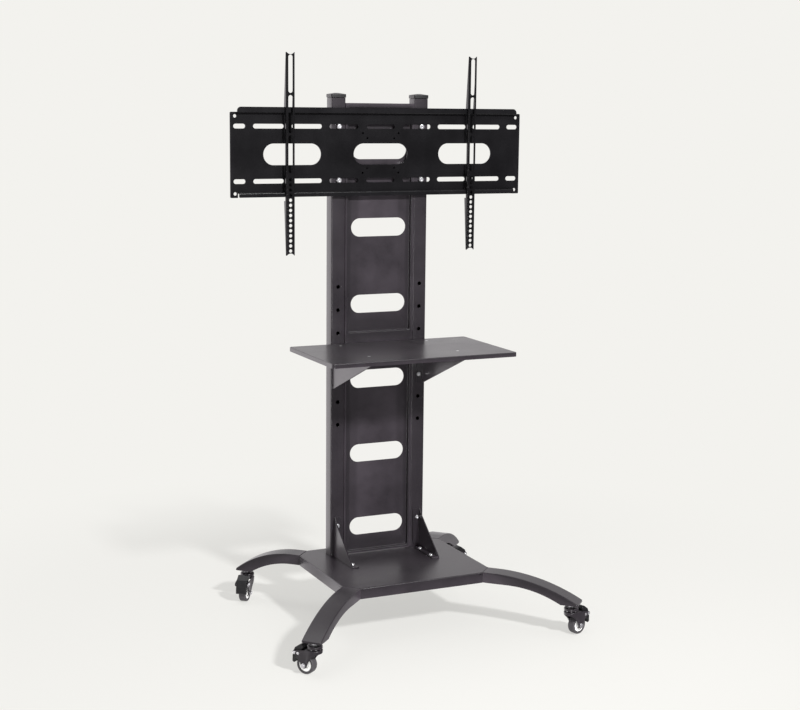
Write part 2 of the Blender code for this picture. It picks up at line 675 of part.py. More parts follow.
def make_shelf_bracket(name, stand, sign):
    """Bracket with a tapering web, a flange on the tube and a flange under the shelf."""
    sheet = BRACKET_SHEET
    wall = -CLEARANCE
    roof = SHELF_TOP - SHELF_SHEET - CLEARANCE
    under_lip = SHELF_TOP - SHELF_LIP - CLEARANCE
    behind_lip = -SHELF_REAR_GAP - SHELF_SHEET - CLEARANCE
    foot = SHELF_BOLT_HEIGHT - BRACKET_FOOT_DROP
    web = fillet([(wall, foot), (wall, under_lip), (behind_lip, under_lip), (behind_lip, roof),
                  (-BRACKET_LENGTH, roof), (-BRACKET_LENGTH, roof - BRACKET_NOSE, BRACKET_NOSE_RADIUS),
                  (wall - sheet, foot)])
    outside, inside = sign * BRACKET_LINE, sign * (BRACKET_LINE - sheet)
    bracket = prisms(name, [web], min(outside, inside), max(outside, inside), "YZ")
    tube_flange = flange_outline(sign, BRACKET_LINE, BRACKET_FLANGE_WIDTH, foot, under_lip, FLANGE_CORNER)
    combine(bracket, prisms("tool", [tube_flange], wall - sheet, wall, "XZ"), "UNION")
    shelf_flange = flange_outline(sign, BRACKET_LINE, BRACKET_FLANGE_WIDTH, -BRACKET_LENGTH, behind_lip,
                                  FLANGE_CORNER)
    combine(bracket, prisms("tool", [shelf_flange], roof - sheet, roof), "UNION")
    screw = SHELF_SCREW_RADIUS + HOLE_CLEARANCE
    holes = [circle(screw, HOLE_SIDES, (sign * SHELF_SCREW_LINE, -depth)) for depth in SHELF_SCREW_DEPTHS]
    combine(bracket, prisms("tool", holes, roof - 2 * sheet, roof + sheet))
    bolt = circle(SMALL_BOLT_RADIUS + HOLE_CLEARANCE, HOLE_SIDES, (sign * TUBE_LINE, SHELF_BOLT_HEIGHT))
    combine(bracket, prisms("tool", [bolt], wall - 2 * sheet, wall + sheet, "XZ"))
    place(bracket, name, BLACK_STEEL, stand)


def plate_openings():
    """Outlines of every slot and hole in the mount plate."""
    first, last = TUBE_LINE - BOLT_SLOT_INWARDS, TUBE_LINE + BOLT_SLOT_OUTWARDS
    centre = first - CENTRE_SLOT_GAP
    run = PLATE_WIDTH / 2 - last
    spans = [(last + near * run, last + far * run) for near, far in (*OUTER_SLOT_SHARES, SIDE_OVAL_SHARES)]
    oval = spans.pop()
    outlines = []
    for row in SLOT_ROWS:
        outlines.append(slot(-centre, centre, SLOT_HEIGHT, row))
        for near, far in ((first, last), *spans):
            outlines.append(slot(near, far, SLOT_HEIGHT, row))
            outlines.append(slot(-far, -near, SLOT_HEIGHT, row))
    level, reach = PLATE_TOP - OVAL_DROP, TUBE_LINE - TUBE_WIDTH / 2 - CENTRE_OVAL_MARGIN
    for left, right in ((-reach, reach), oval, (-oval[1], -oval[0])):
        outlines.append(slot(left, right, OVAL_HEIGHT, level, OVAL_STEPS))
    corners = ((-1, -1), (1, -1), (1, 1), (-1, 1))
    for square in VESA_SQUARES:
        for u, v in corners:
            spot = (u * square / 2, PLATE_TOP - VESA_CENTRE_DROP + v * square / 2)
            outlines.append(circle(VESA_HOLE_RADIUS, HOLE_SIDES, spot))
    for side in (-1, 1):
        for height in (PLATE_TOP - TAB_HOLE_INSET, PLATE_BOTTOM + TAB_HOLE_INSET):
            spot = (side * (PLATE_WIDTH / 2 - TAB_HOLE_SIDE_INSET), height)
            outlines.append(circle(TAB_HOLE_RADIUS, HOLE_SIDES, spot))
    return outlines


def make_lip(half, ledge, edge, corner):
    """Stepped lip that runs along one edge of the mount plate, with round outer corners."""
    middle = PLATE_FRONT + PLATE_SHEET / 2
    lip, far = middle - LIP_JOGGLE, 2 * ledge - edge
    section = folded_sheet([(middle, ledge), (lip, ledge), (lip, edge)], PLATE_SHEET, PLATE_BEND_RADIUS)
    trim = fillet([(-half, far), (half, far), (half, edge, corner), (-half, edge, corner)])
    strip = prisms("lip", [section], -half, half, "YZ")
    return combine(strip, prisms("tool", [trim], LIP_FRONT - PLATE_SHEET, PLATE_SHEET, "XZ"), "INTERSECT")


def make_mount_plate(stand):
    """Slotted plate whose top and bottom edges step forward into lips for the arms' hooks."""
    upper, lower = PLATE_TOP - PLATE_SHEET / 2, LOWER_LEDGE_TOP - PLATE_SHEET / 2
    side, above, below = PLATE_WIDTH / 2, LIP_HALF, LOWER_LIP_HALF
    outline = [Vector(corner) for corner in (
        (-side, PLATE_BOTTOM), (-below, PLATE_BOTTOM), (-below, lower), (below, lower), (below, PLATE_BOTTOM),
        (side, PLATE_BOTTOM), (side, PLATE_TOP), (above, PLATE_TOP), (above, upper), (-above, upper),
        (-above, PLATE_TOP), (-side, PLATE_TOP))]
    plate = prisms("plate", [outline], PLATE_FRONT, -CLEARANCE, "XZ")
    combine(plate, make_lip(above, upper, LIP_TOP, LIP_CORNER), "UNION")
    combine(plate, make_lip(below, lower, LOWER_LIP_BOTTOM, LOWER_LIP_CORNER), "UNION")
    combine(plate, prisms("tool", plate_openings(), PLATE_FRONT - PLATE_SHEET, PLATE_SHEET, "XZ"))
    place(plate, "mount_plate", BLACK_STEEL, stand)


def make_plate_bolts(stand):
    """Button-head bolts that hold the mount plate to the tubes through its slots."""
    radius, head, height = PLATE_BOLT_RADIUS, PLATE_BOLT_HEAD_RADIUS, PLATE_BOLT_HEAD_HEIGHT
    shaft, socket = circle(radius, SHAFT_SIDES), hexagon(PLATE_BOLT_SOCKET)
    seat = PLATE_FRONT - CLEARANCE
    levels = [
        (shaft, TUBE_WALL + PLATE_BOLT_GRIP),
        (shaft, seat),
        (circle(head, SHAFT_SIDES), seat),
        (circle(head * PLATE_BOLT_CROWN_SHARE, SHAFT_SIDES), seat - height),
        (socket, seat - height),
        (socket, seat - height * PLATE_BOLT_SOCKET_FLOOR_SHARE),
    ]
    for side_name, sign in (("left", -1), ("right", 1)):
        for row_name, row in zip(("upper", "lower"), SLOT_ROWS):
            name = "mount_plate_bolt_" + row_name + "_" + side_name
            place(loft(name, levels, "XZ"), name, BRIGHT_ZINC, stand, (sign * TUBE_LINE, 0.0, row))


def make_arm(name, stand, sign):
    """Hooked channel: its flanges taper to the ends and are cut back to sit on the plate's lips."""
    top = PLATE_TOP + ARM_RISE_ABOVE_PLATE
    bottom = top - ARM_LENGTH
    front = LIP_FRONT - ARM_FRONT_STANDOFF
    rear = -ARM_REAR_GAP - CLEARANCE
    side, web = ARM_WIDTH / 2 - ARM_SHEET / 2, front + ARM_SHEET / 2
    path = [(side, rear), (side, web), (-side, web), (-side, rear)]
    section = folded_sheet(path, ARM_SHEET, ARM_BEND_RADIUS)
    arm = prisms(name, [section], bottom, top)
    cut_back = LIP_FRONT - CLEARANCE
    hook_front = LIP_FRONT + PLATE_SHEET + CLEARANCE
    hook_bottom = PLATE_TOP + CLEARANCE
    lip_seat = LIP_TOP + CLEARANCE
    lift_bottom = LOWER_LIP_BOTTOM - ARM_LIFT_GAP
    tip = front + ARM_TIP_DEPTH
    clear = front - ARM_SHEET
    side_view = [Vector(point) for point in (
        (clear, bottom), (tip, bottom), (rear, lift_bottom), (cut_back, lift_bottom),
        (cut_back, lip_seat), (hook_front, lip_seat), (hook_front, hook_bottom), (rear, hook_bottom),
        (rear, hook_bottom + HOOK_REACH), (tip, top), (clear, top))]
    combine(arm, prisms("tool", [side_view], -ARM_WIDTH, ARM_WIDTH, "YZ"), "INTERSECT")
    openings = []
    for index in range(ARM_SLOT_COUNT):
        high = top - ARM_FIRST_SLOT_INSET - ARM_SLOT_PITCH * index
        low = high - ARM_SLOT_PITCH + ARM_SLOT_BRIDGE
        upright_slot = slot(low, high, ARM_SLOT_WIDTH, 0.0)
        openings.append([Vector((-point.y, point.x)) for point in upright_slot])
    first, last = low - ARM_FIRST_HOLE_GAP, bottom + ARM_LAST_HOLE_RISE
    for index in range(ARM_HOLE_COUNT):
        height = first + (last - first) * index / (ARM_HOLE_COUNT - 1)
        openings.append(circle(ARM_HOLE_RADIUS, HOLE_SIDES, (0.0, height)))
    inner = ARM_WIDTH / 2 - ARM_SHEET
    notch_radius = (inner * inner + ARM_NOTCH_DEPTH ** 2) / (2 * ARM_NOTCH_DEPTH)
    for height in (top + notch_radius - ARM_NOTCH_DEPTH, bottom - notch_radius + ARM_NOTCH_DEPTH):
        openings.append(circle(notch_radius, 2 * SHAFT_SIDES, (0.0, height)))
    combine(arm, prisms("tool", openings, front - ARM_SHEET, front + 1.5 * ARM_SHEET, "XZ"))
    place(arm, name, BLACK_STEEL, stand, (sign * ARM_CENTRE, 0.0, 0.0))


def fork_half_width(height):
    """Outer half width of the tapering caster fork at a height."""
    share = (CROWN_TOP - height) / (CROWN_TOP - AXLE_HEIGHT)
    return (FORK_CROWN_WIDTH + (FORK_AXLE_WIDTH - FORK_CROWN_WIDTH) * share) / 2


def fork_plan(half_width, back):
    """Plan of the fork: round in front about the swivel axis, and straight to the back."""
    steps = BEARING_SIDES // 2
    front = [polar((0.0, 0.0), half_width, math.pi / 2 + math.pi * step / steps) for step in range(steps + 1)]
    return front + [Vector((back, -half_width)), Vector((back, half_width))]


def fork_side_view():
    """Side view of the fork, from the skirt in front round the axle to the brake pins."""
    top, skirt = CROWN_TOP + FORK_SHEET, CROWN_UNDERSIDE - FORK_SKIRT_DROP
    front = -FORK_CROWN_WIDTH / 2 - FORK_SHEET
    behind_pivot, behind_ear = BRAKE_PIVOT.x + FORK_PIN_MARGIN, FORK_EAR.x + FORK_PIN_MARGIN
    boss = [polar(AXLE, FORK_AXLE_BOSS, math.radians(angle)) for angle in (10, -35, -80, -125, -170)]
    corners = [
        (front, top),
        (CROWN_LENGTH * CROWN_FLAT_SHARE, top),
        (CROWN_LENGTH, CROWN_TOP - FORK_SHEET / 2),
        (behind_pivot, BRAKE_PIVOT.y + FORK_SHOULDER_RISE, FORK_SHOULDER_RADIUS),
        (behind_ear, FORK_EAR.y + FORK_PIN_MARGIN, FORK_EAR_RADIUS),
        (behind_ear, FORK_EAR.y - FORK_PIN_MARGIN, FORK_EAR_RADIUS),
        (behind_pivot, BRAKE_PIVOT.y - FORK_THROAT_DROP, FORK_THROAT_RADIUS),
    ]
    corners += [tuple(point) for point in boss]
    corners += [
        (AXLE.x - 2 * FORK_AXLE_BOSS, CROWN_UNDERSIDE - FORK_BROW_DROP, FORK_BROW_RADIUS),
        (-FORK_CROWN_WIDTH / 3, skirt, FORK_BROW_RADIUS),
        (front, skirt),
    ]
    return fillet(corners)


def make_fork():
    """Caster fork: a pressed crown with a skirt and two side plates that taper to the axle."""
    sheet = FORK_SHEET
    back = FORK_EAR.x + FORK_CROWN_WIDTH / 2
    low, deep = AXLE_HEIGHT - 2 * FORK_AXLE_BOSS, AXLE_HEIGHT - 3 * FORK_AXLE_BOSS
    fork = loft("fork", [(fork_plan(fork_half_width(low), back), low),
                         (fork_plan(fork_half_width(CROWN_TOP), back), CROWN_TOP)])
    inner = [(fork_plan(fork_half_width(level) - sheet, 2 * back), level)
             for level in (deep, CROWN_UNDERSIDE)]
    combine(fork, loft("tool", inner))
    gap = fork_half_width(CROWN_UNDERSIDE) - sheet
    rear = rectangle(2 * back - 2 * CROWN_LENGTH, 2 * gap, 0.0, (back, 0.0))
    combine(fork, prisms("tool", [rear], CROWN_UNDERSIDE - sheet, CROWN_TOP + sheet))
    combine(fork, prisms("tool", [fork_side_view()], -FORK_CROWN_WIDTH, FORK_CROWN_WIDTH, "XZ"), "INTERSECT")
    boss = [(KING_BOSS_RADIUS, CROWN_TOP - sheet / 2), (KING_BOSS_RADIUS, KING_BOSS_TOP)]
    combine(fork, turned("tool", boss, BEARING_SIDES), "UNION")
    hollow, bore = KING_BOSS_RADIUS - sheet, KING_PIN_RADIUS + CLEARANCE
    cavity = [(hollow, CROWN_UNDERSIDE - sheet), (hollow, KING_BOSS_TOP - sheet),
              (bore, KING_BOSS_TOP - sheet), (bore, KING_BOSS_TOP + sheet)]
    combine(fork, turned("tool", cavity, BEARING_SIDES))
    holes = [circle(AXLE_RADIUS + CLEARANCE, SHAFT_SIDES, AXLE),
             circle(BRAKE_PIN_RADIUS + CLEARANCE, HOLE_SIDES, BRAKE_PIVOT)]
    return combine(fork, prisms("tool", holes, -FORK_CROWN_WIDTH, FORK_CROWN_WIDTH, "XZ"))


def make_stem():
    """Caster stem: king pin with its head, shoulder, hexagon collar and threaded stud."""
    pin_top = KING_BOSS_TOP - FORK_SHEET - CLEARANCE
    seat = KING_BOSS_TOP + CLEARANCE
    shoulder_top = CUP_TOP - CUP_SHEET - CLEARANCE
    head = circle(KING_BOSS_RADIUS - FORK_SHEET - 2 * HOLE_CLEARANCE, SHAFT_SIDES)
    pin, shoulder = circle(KING_PIN_RADIUS, SHAFT_SIDES), circle(SHOULDER_RADIUS, SHAFT_SIDES)
    collar, stud = hexagon(COLLAR_ACROSS), circle(STUD_RADIUS, SHAFT_SIDES)
    collar_top = COLLAR_BOTTOM + COLLAR_HEIGHT
    stud_top = PAD_HEIGHT + LEG_PAD_THICKNESS - CLEARANCE
    return loft("stem", [
        (head, pin_top - KING_PIN_HEAD_HEIGHT), (head, pin_top), (pin, pin_top), (pin, seat),
        (shoulder, seat), (shoulder, shoulder_top), (pin, shoulder_top), (pin, COLLAR_BOTTOM),
        (collar, COLLAR_BOTTOM), (collar, collar_top), (stud, collar_top), (stud, stud_top)])


def race_radii():
    """Radius of the ball ring and inner radius of the cup that holds it."""
    ring = KING_BOSS_RADIUS + BALL_RADIUS + CLEARANCE
    return ring, ring + BALL_RADIUS + 1.5 * CLEARANCE


def make_cup():
    """Pressed upper race that covers the balls."""
    inner = race_radii()[1]
    outer = inner + CUP_SHEET
    bore = KING_PIN_RADIUS + CLEARANCE
    under = CUP_TOP - CUP_SHEET
    shoulder = CUP_RIM + CUP_HEIGHT * CUP_WALL_SHARE
    profile = [
        (outer, CUP_RIM), (outer, shoulder), (outer - CUP_SHOULDER, CUP_TOP), (bore, CUP_TOP),
        (bore, under), (inner - CUP_SHOULDER, under), (inner, shoulder), (inner, CUP_RIM),
    ]
    return turned("cup", profile, BEARING_SIDES, closed=True)


def make_ball_cage():
    """Bearing balls between the cup and the fork's crown, strung on their cage's ring."""
    ring = race_radii()[0]
    height = CROWN_TOP + CLEARANCE + BALL_RADIUS
    flank = BALL_RADIUS / 2 / ring
    stations = []
    for index in range(BALL_COUNT):
        middle = 2 * math.pi * index / BALL_COUNT
        stations += [(middle - math.pi / BALL_COUNT, CAGE_WIRE), (middle - flank, BALL_RADIUS),
                     (middle + flank, BALL_RADIUS)]
    rings = []
    for angle, radius in stations:
        out = Vector((math.cos(angle), math.sin(angle), 0.0))
        rings.append([out * (ring + point.x) + Vector((0.0, 0.0, height + point.y))
                      for point in circle(radius, BEAD_SIDES)])
    mesh = bmesh.new()
    skin(mesh, rings, True)
    return add_object("ball_cage", mesh)


def make_tyre():
    """Rubber tyre with a flat tread and sloping shoulders, about its own axle."""
    half, bore = TYRE_WIDTH / 2, RIM_RADIUS + CLEARANCE
    wall = WHEEL_RADIUS - TYRE_SHOULDER / 2
    tread = half - TYRE_SHOULDER
    profile = [(bore, -half), (wall, -half), (WHEEL_RADIUS, -tread),
               (WHEEL_RADIUS, tread), (wall, half), (bore, half)]
    return turned("tyre", profile, WHEEL_SIDES, "XZ", True)


def make_rim():
    """Wheel body: hub, dished web and rim in one moulding, about its own axle."""
    bore = AXLE_RADIUS + CLEARANCE
    reach = fork_half_width(AXLE_HEIGHT - HUB_RADIUS) - FORK_SHEET - CLEARANCE
    web, edge, wall = WEB_THICKNESS / 2, RIM_WIDTH / 2, RIM_RADIUS - RIM_WALL
    half = [(bore, -reach), (HUB_RADIUS, -reach), (wall, -web), (RIM_RADIUS, -edge)]
    profile = half + [(radius, -width) for radius, width in half[::-1]]
    return turned("rim", profile, WHEEL_SIDES, "XZ", True)


def make_axle():
    """Axle bolt with its head on one side and its nut on the other, about its own axis."""
    reach = fork_half_width(AXLE_HEIGHT + AXLE_HEAD_ACROSS / 2) + 2 * CLEARANCE
    shaft, head = circle(AXLE_RADIUS, SHAFT_SIDES), hexagon(AXLE_HEAD_ACROSS)
    end = reach + AXLE_HEAD_HEIGHT
    levels = [(head, -end), (head, -reach), (shaft, -reach), (shaft, reach), (head, reach), (head, end)]
    return loft("axle", levels, "XZ")


def make_brake_pin():
    """Rivet that carries the pedal between the fork's side plates, about its own axis."""
    radius, head, height = BRAKE_PIN_RADIUS, BRAKE_PIN_HEAD_RADIUS, BRAKE_PIN_HEAD_HEIGHT
    reach = fork_half_width(BRAKE_PIVOT.y + head) + CLEARANCE
    end = reach + height
    profile = [(head, -end), (head, -reach), (radius, -reach), (radius, reach), (head, reach), (head, end)]
    return turned("pin", profile, HOLE_SIDES, "XZ")


def make_pedal():
    """Brake pedal about its pivot: a release tab above and a shoe that faces the tread below."""
    heel = [polar(AXLE - BRAKE_PIVOT, WHEEL_RADIUS + PEDAL_TREAD_GAP,
                  PEDAL_HEEL_ANGLE + (PEDAL_SHOE_ANGLE - PEDAL_HEEL_ANGLE) * step / ARC_STEPS)
            for step in range(ARC_STEPS + 1)]
    outline = fillet([*PEDAL_BACK, *[tuple(point) for point in heel]])
    pedal = prisms("pedal", [outline], -PEDAL_WIDTH / 2, PEDAL_WIDTH / 2, "XZ")
    hole = circle(BRAKE_PIN_RADIUS + HOLE_CLEARANCE, HOLE_SIDES)
    return combine(pedal, prisms("tool", [hole], -PEDAL_WIDTH, PEDAL_WIDTH, "XZ"))


def copy_of(piece):
    """Another object that shares a piece's shape."""
    twin = bpy.data.objects.new(piece.name, piece.data.copy())
    bpy.context.scene.collection.objects.link(twin)
    return twin


def make_casters(stand, stem_spots):
    """Four casters, each with its swivel, wheel and brake on an empty of its own."""
    shapes = {
        "stem": (make_stem(), BRIGHT_ZINC), "cup": (make_cup(), BLACK_STEEL),
        "ball_cage": (make_ball_cage(), BRIGHT_ZINC), "fork": (make_fork(), BLACK_STEEL),
        "axle": (make_axle(), BRIGHT_ZINC), "brake_pin": (make_brake_pin(), BRIGHT_ZINC),
        "rim": (make_rim(), WHITE_PLASTIC), "tyre": (make_tyre(), GREY_RUBBER),
        "brake_pedal": (make_pedal(), BLACK_PLASTIC),
    }
    for corner, degrees in CASTER_HEADINGS.items():
        spot = (*stem_spots[corner], 0.0)
        swivel = add_empty("swivel_axis_" + corner, stand, spot, math.radians(degrees))
        wheel = add_empty("wheel_axis_" + corner, swivel, (AXLE.x, 0.0, AXLE.y))
        brake = add_empty("brake_axis_" + corner, swivel, (BRAKE_PIVOT.x, 0.0, BRAKE_PIVOT.y))
        carriers = {
            "stem": (stand, spot), "cup": (stand, spot),
            "ball_cage": (swivel, (0.0, 0.0, 0.0)), "fork": (swivel, (0.0, 0.0, 0.0)),
            "brake_pin": (swivel, (BRAKE_PIVOT.x, 0.0, BRAKE_PIVOT.y)),
            "axle": (swivel, (AXLE.x, 0.0, AXLE.y)),
            "rim": (wheel, (0.0, 0.0, 0.0)), "tyre": (wheel, (0.0, 0.0, 0.0)),
            "brake_pedal": (brake, (0.0, 0.0, 0.0)),
        }
        for kind, (shape, finish) in shapes.items():
            parent, location = carriers[kind]
            place(copy_of(shape), "caster_" + kind + "_" + corner, finish, parent, location)
    for shape, finish in shapes.values():
        bpy.data.objects.remove(shape)


def build():
    """Remove what the scene holds, and build the stand."""
    for leftover in list(bpy.data.objects):
        bpy.data.objects.remove(leftover)

    seat = CLEARANCE / math.sqrt(2)
    corner_line = BASE_WIDTH / 2 - CHAMFER / 2 + seat
    front_root = -BASE_FRONT_DEPTH + CHAMFER / 2 - seat
    rear_root = BASE_REAR_DEPTH - CHAMFER / 2 + seat
    diagonal = 1 / math.sqrt(2)
    front_tip = front_root - (FRONT_LEG_REACH + LEG_WIDTH / 2) * diagonal
    rear_tip = rear_root + (REAR_LEG_REACH + LEG_WIDTH / 2) * diagonal
    stand = add_empty("stand", None, (0.0, -(front_tip + rear_tip) / 2, 0.0))

    make_base_plate(stand)
    legs = {
        "front_left": (-1, -1, front_root, FRONT_LEG_REACH, FRONT_LEG_UNDER_STRAIGHT),
        "front_right": (1, -1, front_root, FRONT_LEG_REACH, FRONT_LEG_UNDER_STRAIGHT),
        "rear_left": (-1, 1, rear_root, REAR_LEG_REACH, REAR_LEG_UNDER_STRAIGHT),
        "rear_right": (1, 1, rear_root, REAR_LEG_REACH, REAR_LEG_UNDER_STRAIGHT),
    }
    stem_spots = {}
    for corner, (side, way, root_y, reach, under_straight) in legs.items():
        root = Vector((side * corner_line, root_y))
        make_leg("leg_" + corner, stand, (*root, 0.0), math.atan2(way, side), reach, under_straight)
        stem_spots[corner] = root + Vector((side, way)) * (reach - STEM_INSET) * diagonal
    make_casters(stand, stem_spots)

    for side_name, sign in (("left", -1), ("right", 1)):
        make_upright("upright_" + side_name, stand, sign)
        make_upright_cap("upright_cap_" + side_name, stand, sign)
        make_foot_gusset("foot_gusset_" + side_name, stand, sign)
        make_shelf_bracket("shelf_bracket_" + side_name, stand, sign)
        make_arm("tv_arm_" + side_name, stand, sign)

    slots = cable_slot_heights()
    per_panel = CABLE_SLOT_COUNT // 2
    joint = (slots[per_panel - 1] + slots[per_panel]) / 2 - PANEL_JOINT_DROP
    make_panel("column_panel_lower", stand, BASE_TOP + PANEL_FOOT_RISE, joint - CLEARANCE,
               PANEL_FOOT_BAND, LOWER_PANEL_TOP_BAND, slots[:per_panel])
    make_panel("column_panel_upper", stand, joint, COLUMN_TOP - PANEL_TOP_DROP,
               UPPER_PANEL_FOOT_BAND, PANEL_TOP_BAND, slots[per_panel:])

    make_shelf(stand)
    make_mount_plate(stand)
    make_plate_bolts(stand)


build()
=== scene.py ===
import math

import bmesh
import bpy
from mathutils import Matrix, Vector


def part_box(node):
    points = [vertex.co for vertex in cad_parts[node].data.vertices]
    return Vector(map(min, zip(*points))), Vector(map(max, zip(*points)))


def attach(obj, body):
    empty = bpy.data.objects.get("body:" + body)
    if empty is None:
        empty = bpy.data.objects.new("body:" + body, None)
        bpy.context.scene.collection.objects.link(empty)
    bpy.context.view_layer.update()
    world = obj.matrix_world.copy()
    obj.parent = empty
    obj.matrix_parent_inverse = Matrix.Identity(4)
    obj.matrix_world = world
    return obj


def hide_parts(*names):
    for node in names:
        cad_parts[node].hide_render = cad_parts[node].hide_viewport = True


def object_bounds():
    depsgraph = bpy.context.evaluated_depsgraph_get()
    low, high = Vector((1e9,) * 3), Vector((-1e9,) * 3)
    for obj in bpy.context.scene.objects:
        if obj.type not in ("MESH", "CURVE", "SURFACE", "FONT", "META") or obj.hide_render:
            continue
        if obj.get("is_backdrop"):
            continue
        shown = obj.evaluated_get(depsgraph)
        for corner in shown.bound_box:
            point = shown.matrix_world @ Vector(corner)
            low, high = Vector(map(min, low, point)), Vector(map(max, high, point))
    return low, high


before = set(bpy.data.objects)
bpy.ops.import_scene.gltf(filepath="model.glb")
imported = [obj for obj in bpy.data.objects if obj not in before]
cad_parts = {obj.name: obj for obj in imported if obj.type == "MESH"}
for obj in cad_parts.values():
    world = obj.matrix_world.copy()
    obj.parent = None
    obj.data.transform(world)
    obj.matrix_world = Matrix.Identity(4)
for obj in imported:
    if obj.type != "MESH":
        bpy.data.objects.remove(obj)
scene = bpy.context.scene
scene.view_settings.view_transform = "Standard"
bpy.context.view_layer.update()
stand_body = "stand"
column_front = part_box("upright_left")[0].y


# Camera
# Stands to the left of the stand and a little above its middle, and looks slightly down.
# The sizes are real ones, from the photograph's vanishing lines.
CAMERA_PLACE = Vector((-1.62988, -3.486446, 1.31646))
CAMERA_YAW = math.radians(25.108)
CAMERA_PITCH = math.radians(9.224)
CAMERA_ROLL = math.radians(0.593)
CAMERA_LENS = 69.237
SENSOR_WIDTH = 36.0
FARTHEST_SEEN = 60.0

ahead = Vector((math.sin(CAMERA_YAW) * math.cos(CAMERA_PITCH),
                math.cos(CAMERA_YAW) * math.cos(CAMERA_PITCH), -math.sin(CAMERA_PITCH)))
level_right = Vector((math.cos(CAMERA_YAW), -math.sin(CAMERA_YAW), 0.0))
level_up = level_right.cross(ahead)
right = level_right * math.cos(CAMERA_ROLL) + level_up * math.sin(CAMERA_ROLL)
up = right.cross(ahead)
camera = bpy.data.objects.new("camera", bpy.data.cameras.new("camera"))
camera.data.sensor_width = SENSOR_WIDTH
camera.data.lens = CAMERA_LENS
camera.data.clip_end = FARTHEST_SEEN
camera.matrix_world = Matrix.Translation(CAMERA_PLACE) @ Matrix((right, up, -ahead)).transposed().to_4x4()
scene.collection.objects.link(camera)
scene.camera = camera


# Studio
# A pale floor that runs out into a pale surround. A small key lamp high in front, a little to the right,
# throws the shadow back and to the left, and a wide lamp above and a low one in front fill it in.
# Reflections meet a dark room in front, a lighter one behind and above, and a bright reflector.
SURROUND = (0.896, 0.888, 0.855)
FLOOR_COLOUR = (0.79, 0.785, 0.76)
FLOOR_RADIUS = 9.0
FLOOR_LIT_SHARE = 0.39
FLOOR_FADE_START = 0.45
FLOOR_FADE_END = 1.65
FLOOR_LIFT = 0.0005
ROOM_IN_FRONT = (0.17, 0.158, 0.175)
ROOM_AT_LEFT = (0.42, 0.40, 0.41)
ROOM_BELOW = (0.80, 0.79, 0.78)
ROOM_BEHIND = (1.14, 1.11, 1.12)
ROOM_ABOVE = (0.76, 0.74, 0.75)
BRIGHT_REFLECTOR = (1.9, 1.82, 1.87)
TOWARDS_BACK = (-0.20, 0.88, 0.43)
TOWARDS_REFLECTOR = (-0.60, 0.79, -0.10)
TOWARDS_LEFT = (-0.90, -0.42, -0.12)
UPWARDS = (0.0, 0.0, 1.0)
DOWNWARDS = (0.0, 0.0, -1.0)
ABOVE_FADE = (0.10, 0.34)
BACK_FADE = (-0.45, 0.55)
LEFT_FADE = (0.70, 0.97)
REFLECTOR_FADE = (0.55, 0.95)
BELOW_FADE = (0.35, 0.70)
AMBIENT_FILL = (0.30, 0.298, 0.295)
LAMP_TARGET = Vector((0.0, 0.0, 0.5))
LAMPS = {
    "key": ((1.03, -5.30, 4.22), 0.58, 490.0),
    "top": ((-0.4, 0.6, 4.2), 2.6, 30.0),
    "low": ((-1.1, -3.3, 0.30), 0.55, 34.0),
}

world = bpy.data.worlds.new("surround")
scene.world = world
world.use_nodes = True
nodes, links = world.node_tree.nodes, world.node_tree.links
nodes.clear()
world_ray = nodes.new("ShaderNodeLightPath")
direction = nodes.new("ShaderNodeTexCoord")


def facing_share(towards, low, high):
    """Share from none to all as a direction turns towards a side of the room."""
    along = nodes.new("ShaderNodeVectorMath")
    along.operation = "DOT_PRODUCT"
    along.inputs[1].default_value = towards
    links.new(direction.outputs["Generated"], along.inputs[0])
    share = nodes.new("ShaderNodeMapRange")
    share.interpolation_type = "SMOOTHSTEP"
    share.inputs["From Min"].default_value = low
    share.inputs["From Max"].default_value = high
    links.new(along.outputs["Value"], share.inputs["Value"])
    return share.outputs[0]


def blended(share, first, second):
    """Background between a colour or background and a colour, by a share."""
    node = nodes.new("ShaderNodeMixShader")
    links.new(share, node.inputs["Fac"])
    for socket, value in ((node.inputs[1], first), (node.inputs[2], second)):
        if isinstance(value, tuple):
            plain = nodes.new("ShaderNodeBackground")
            plain.inputs["Color"].default_value = (*value, 1.0)
            value = plain.outputs[0]
        links.new(value, socket)
    return node.outputs[0]


ambient = blended(world_ray.outputs["Is Diffuse Ray"], SURROUND, AMBIENT_FILL)
behind = blended(facing_share(UPWARDS, *ABOVE_FADE), ROOM_BEHIND, ROOM_ABOVE)
room = blended(facing_share(TOWARDS_BACK, *BACK_FADE), ROOM_IN_FRONT, behind)
room = blended(facing_share(TOWARDS_LEFT, *LEFT_FADE), room, ROOM_AT_LEFT)
room = blended(facing_share(TOWARDS_REFLECTOR, *REFLECTOR_FADE), room, BRIGHT_REFLECTOR)
room = blended(facing_share(DOWNWARDS, *BELOW_FADE), room, ROOM_BELOW)
lit = blended(world_ray.outputs["Is Glossy Ray"], ambient, room)
world_output = nodes.new("ShaderNodeOutputWorld")
links.new(lit, world_output.inputs["Surface"])

for name, (place, size, power) in LAMPS.items():
    lamp = bpy.data.lights.new("lamp_" + name, "AREA")
    lamp.shape = "DISK"
    lamp.size = size
    lamp.energy = power
    holder = bpy.data.objects.new("lamp_" + name, lamp)
    holder.location = place
    aim = LAMP_TARGET - Vector(place)
    holder.rotation_euler = aim.to_track_quat("-Z", "Y").to_euler()
    scene.collection.objects.link(holder)

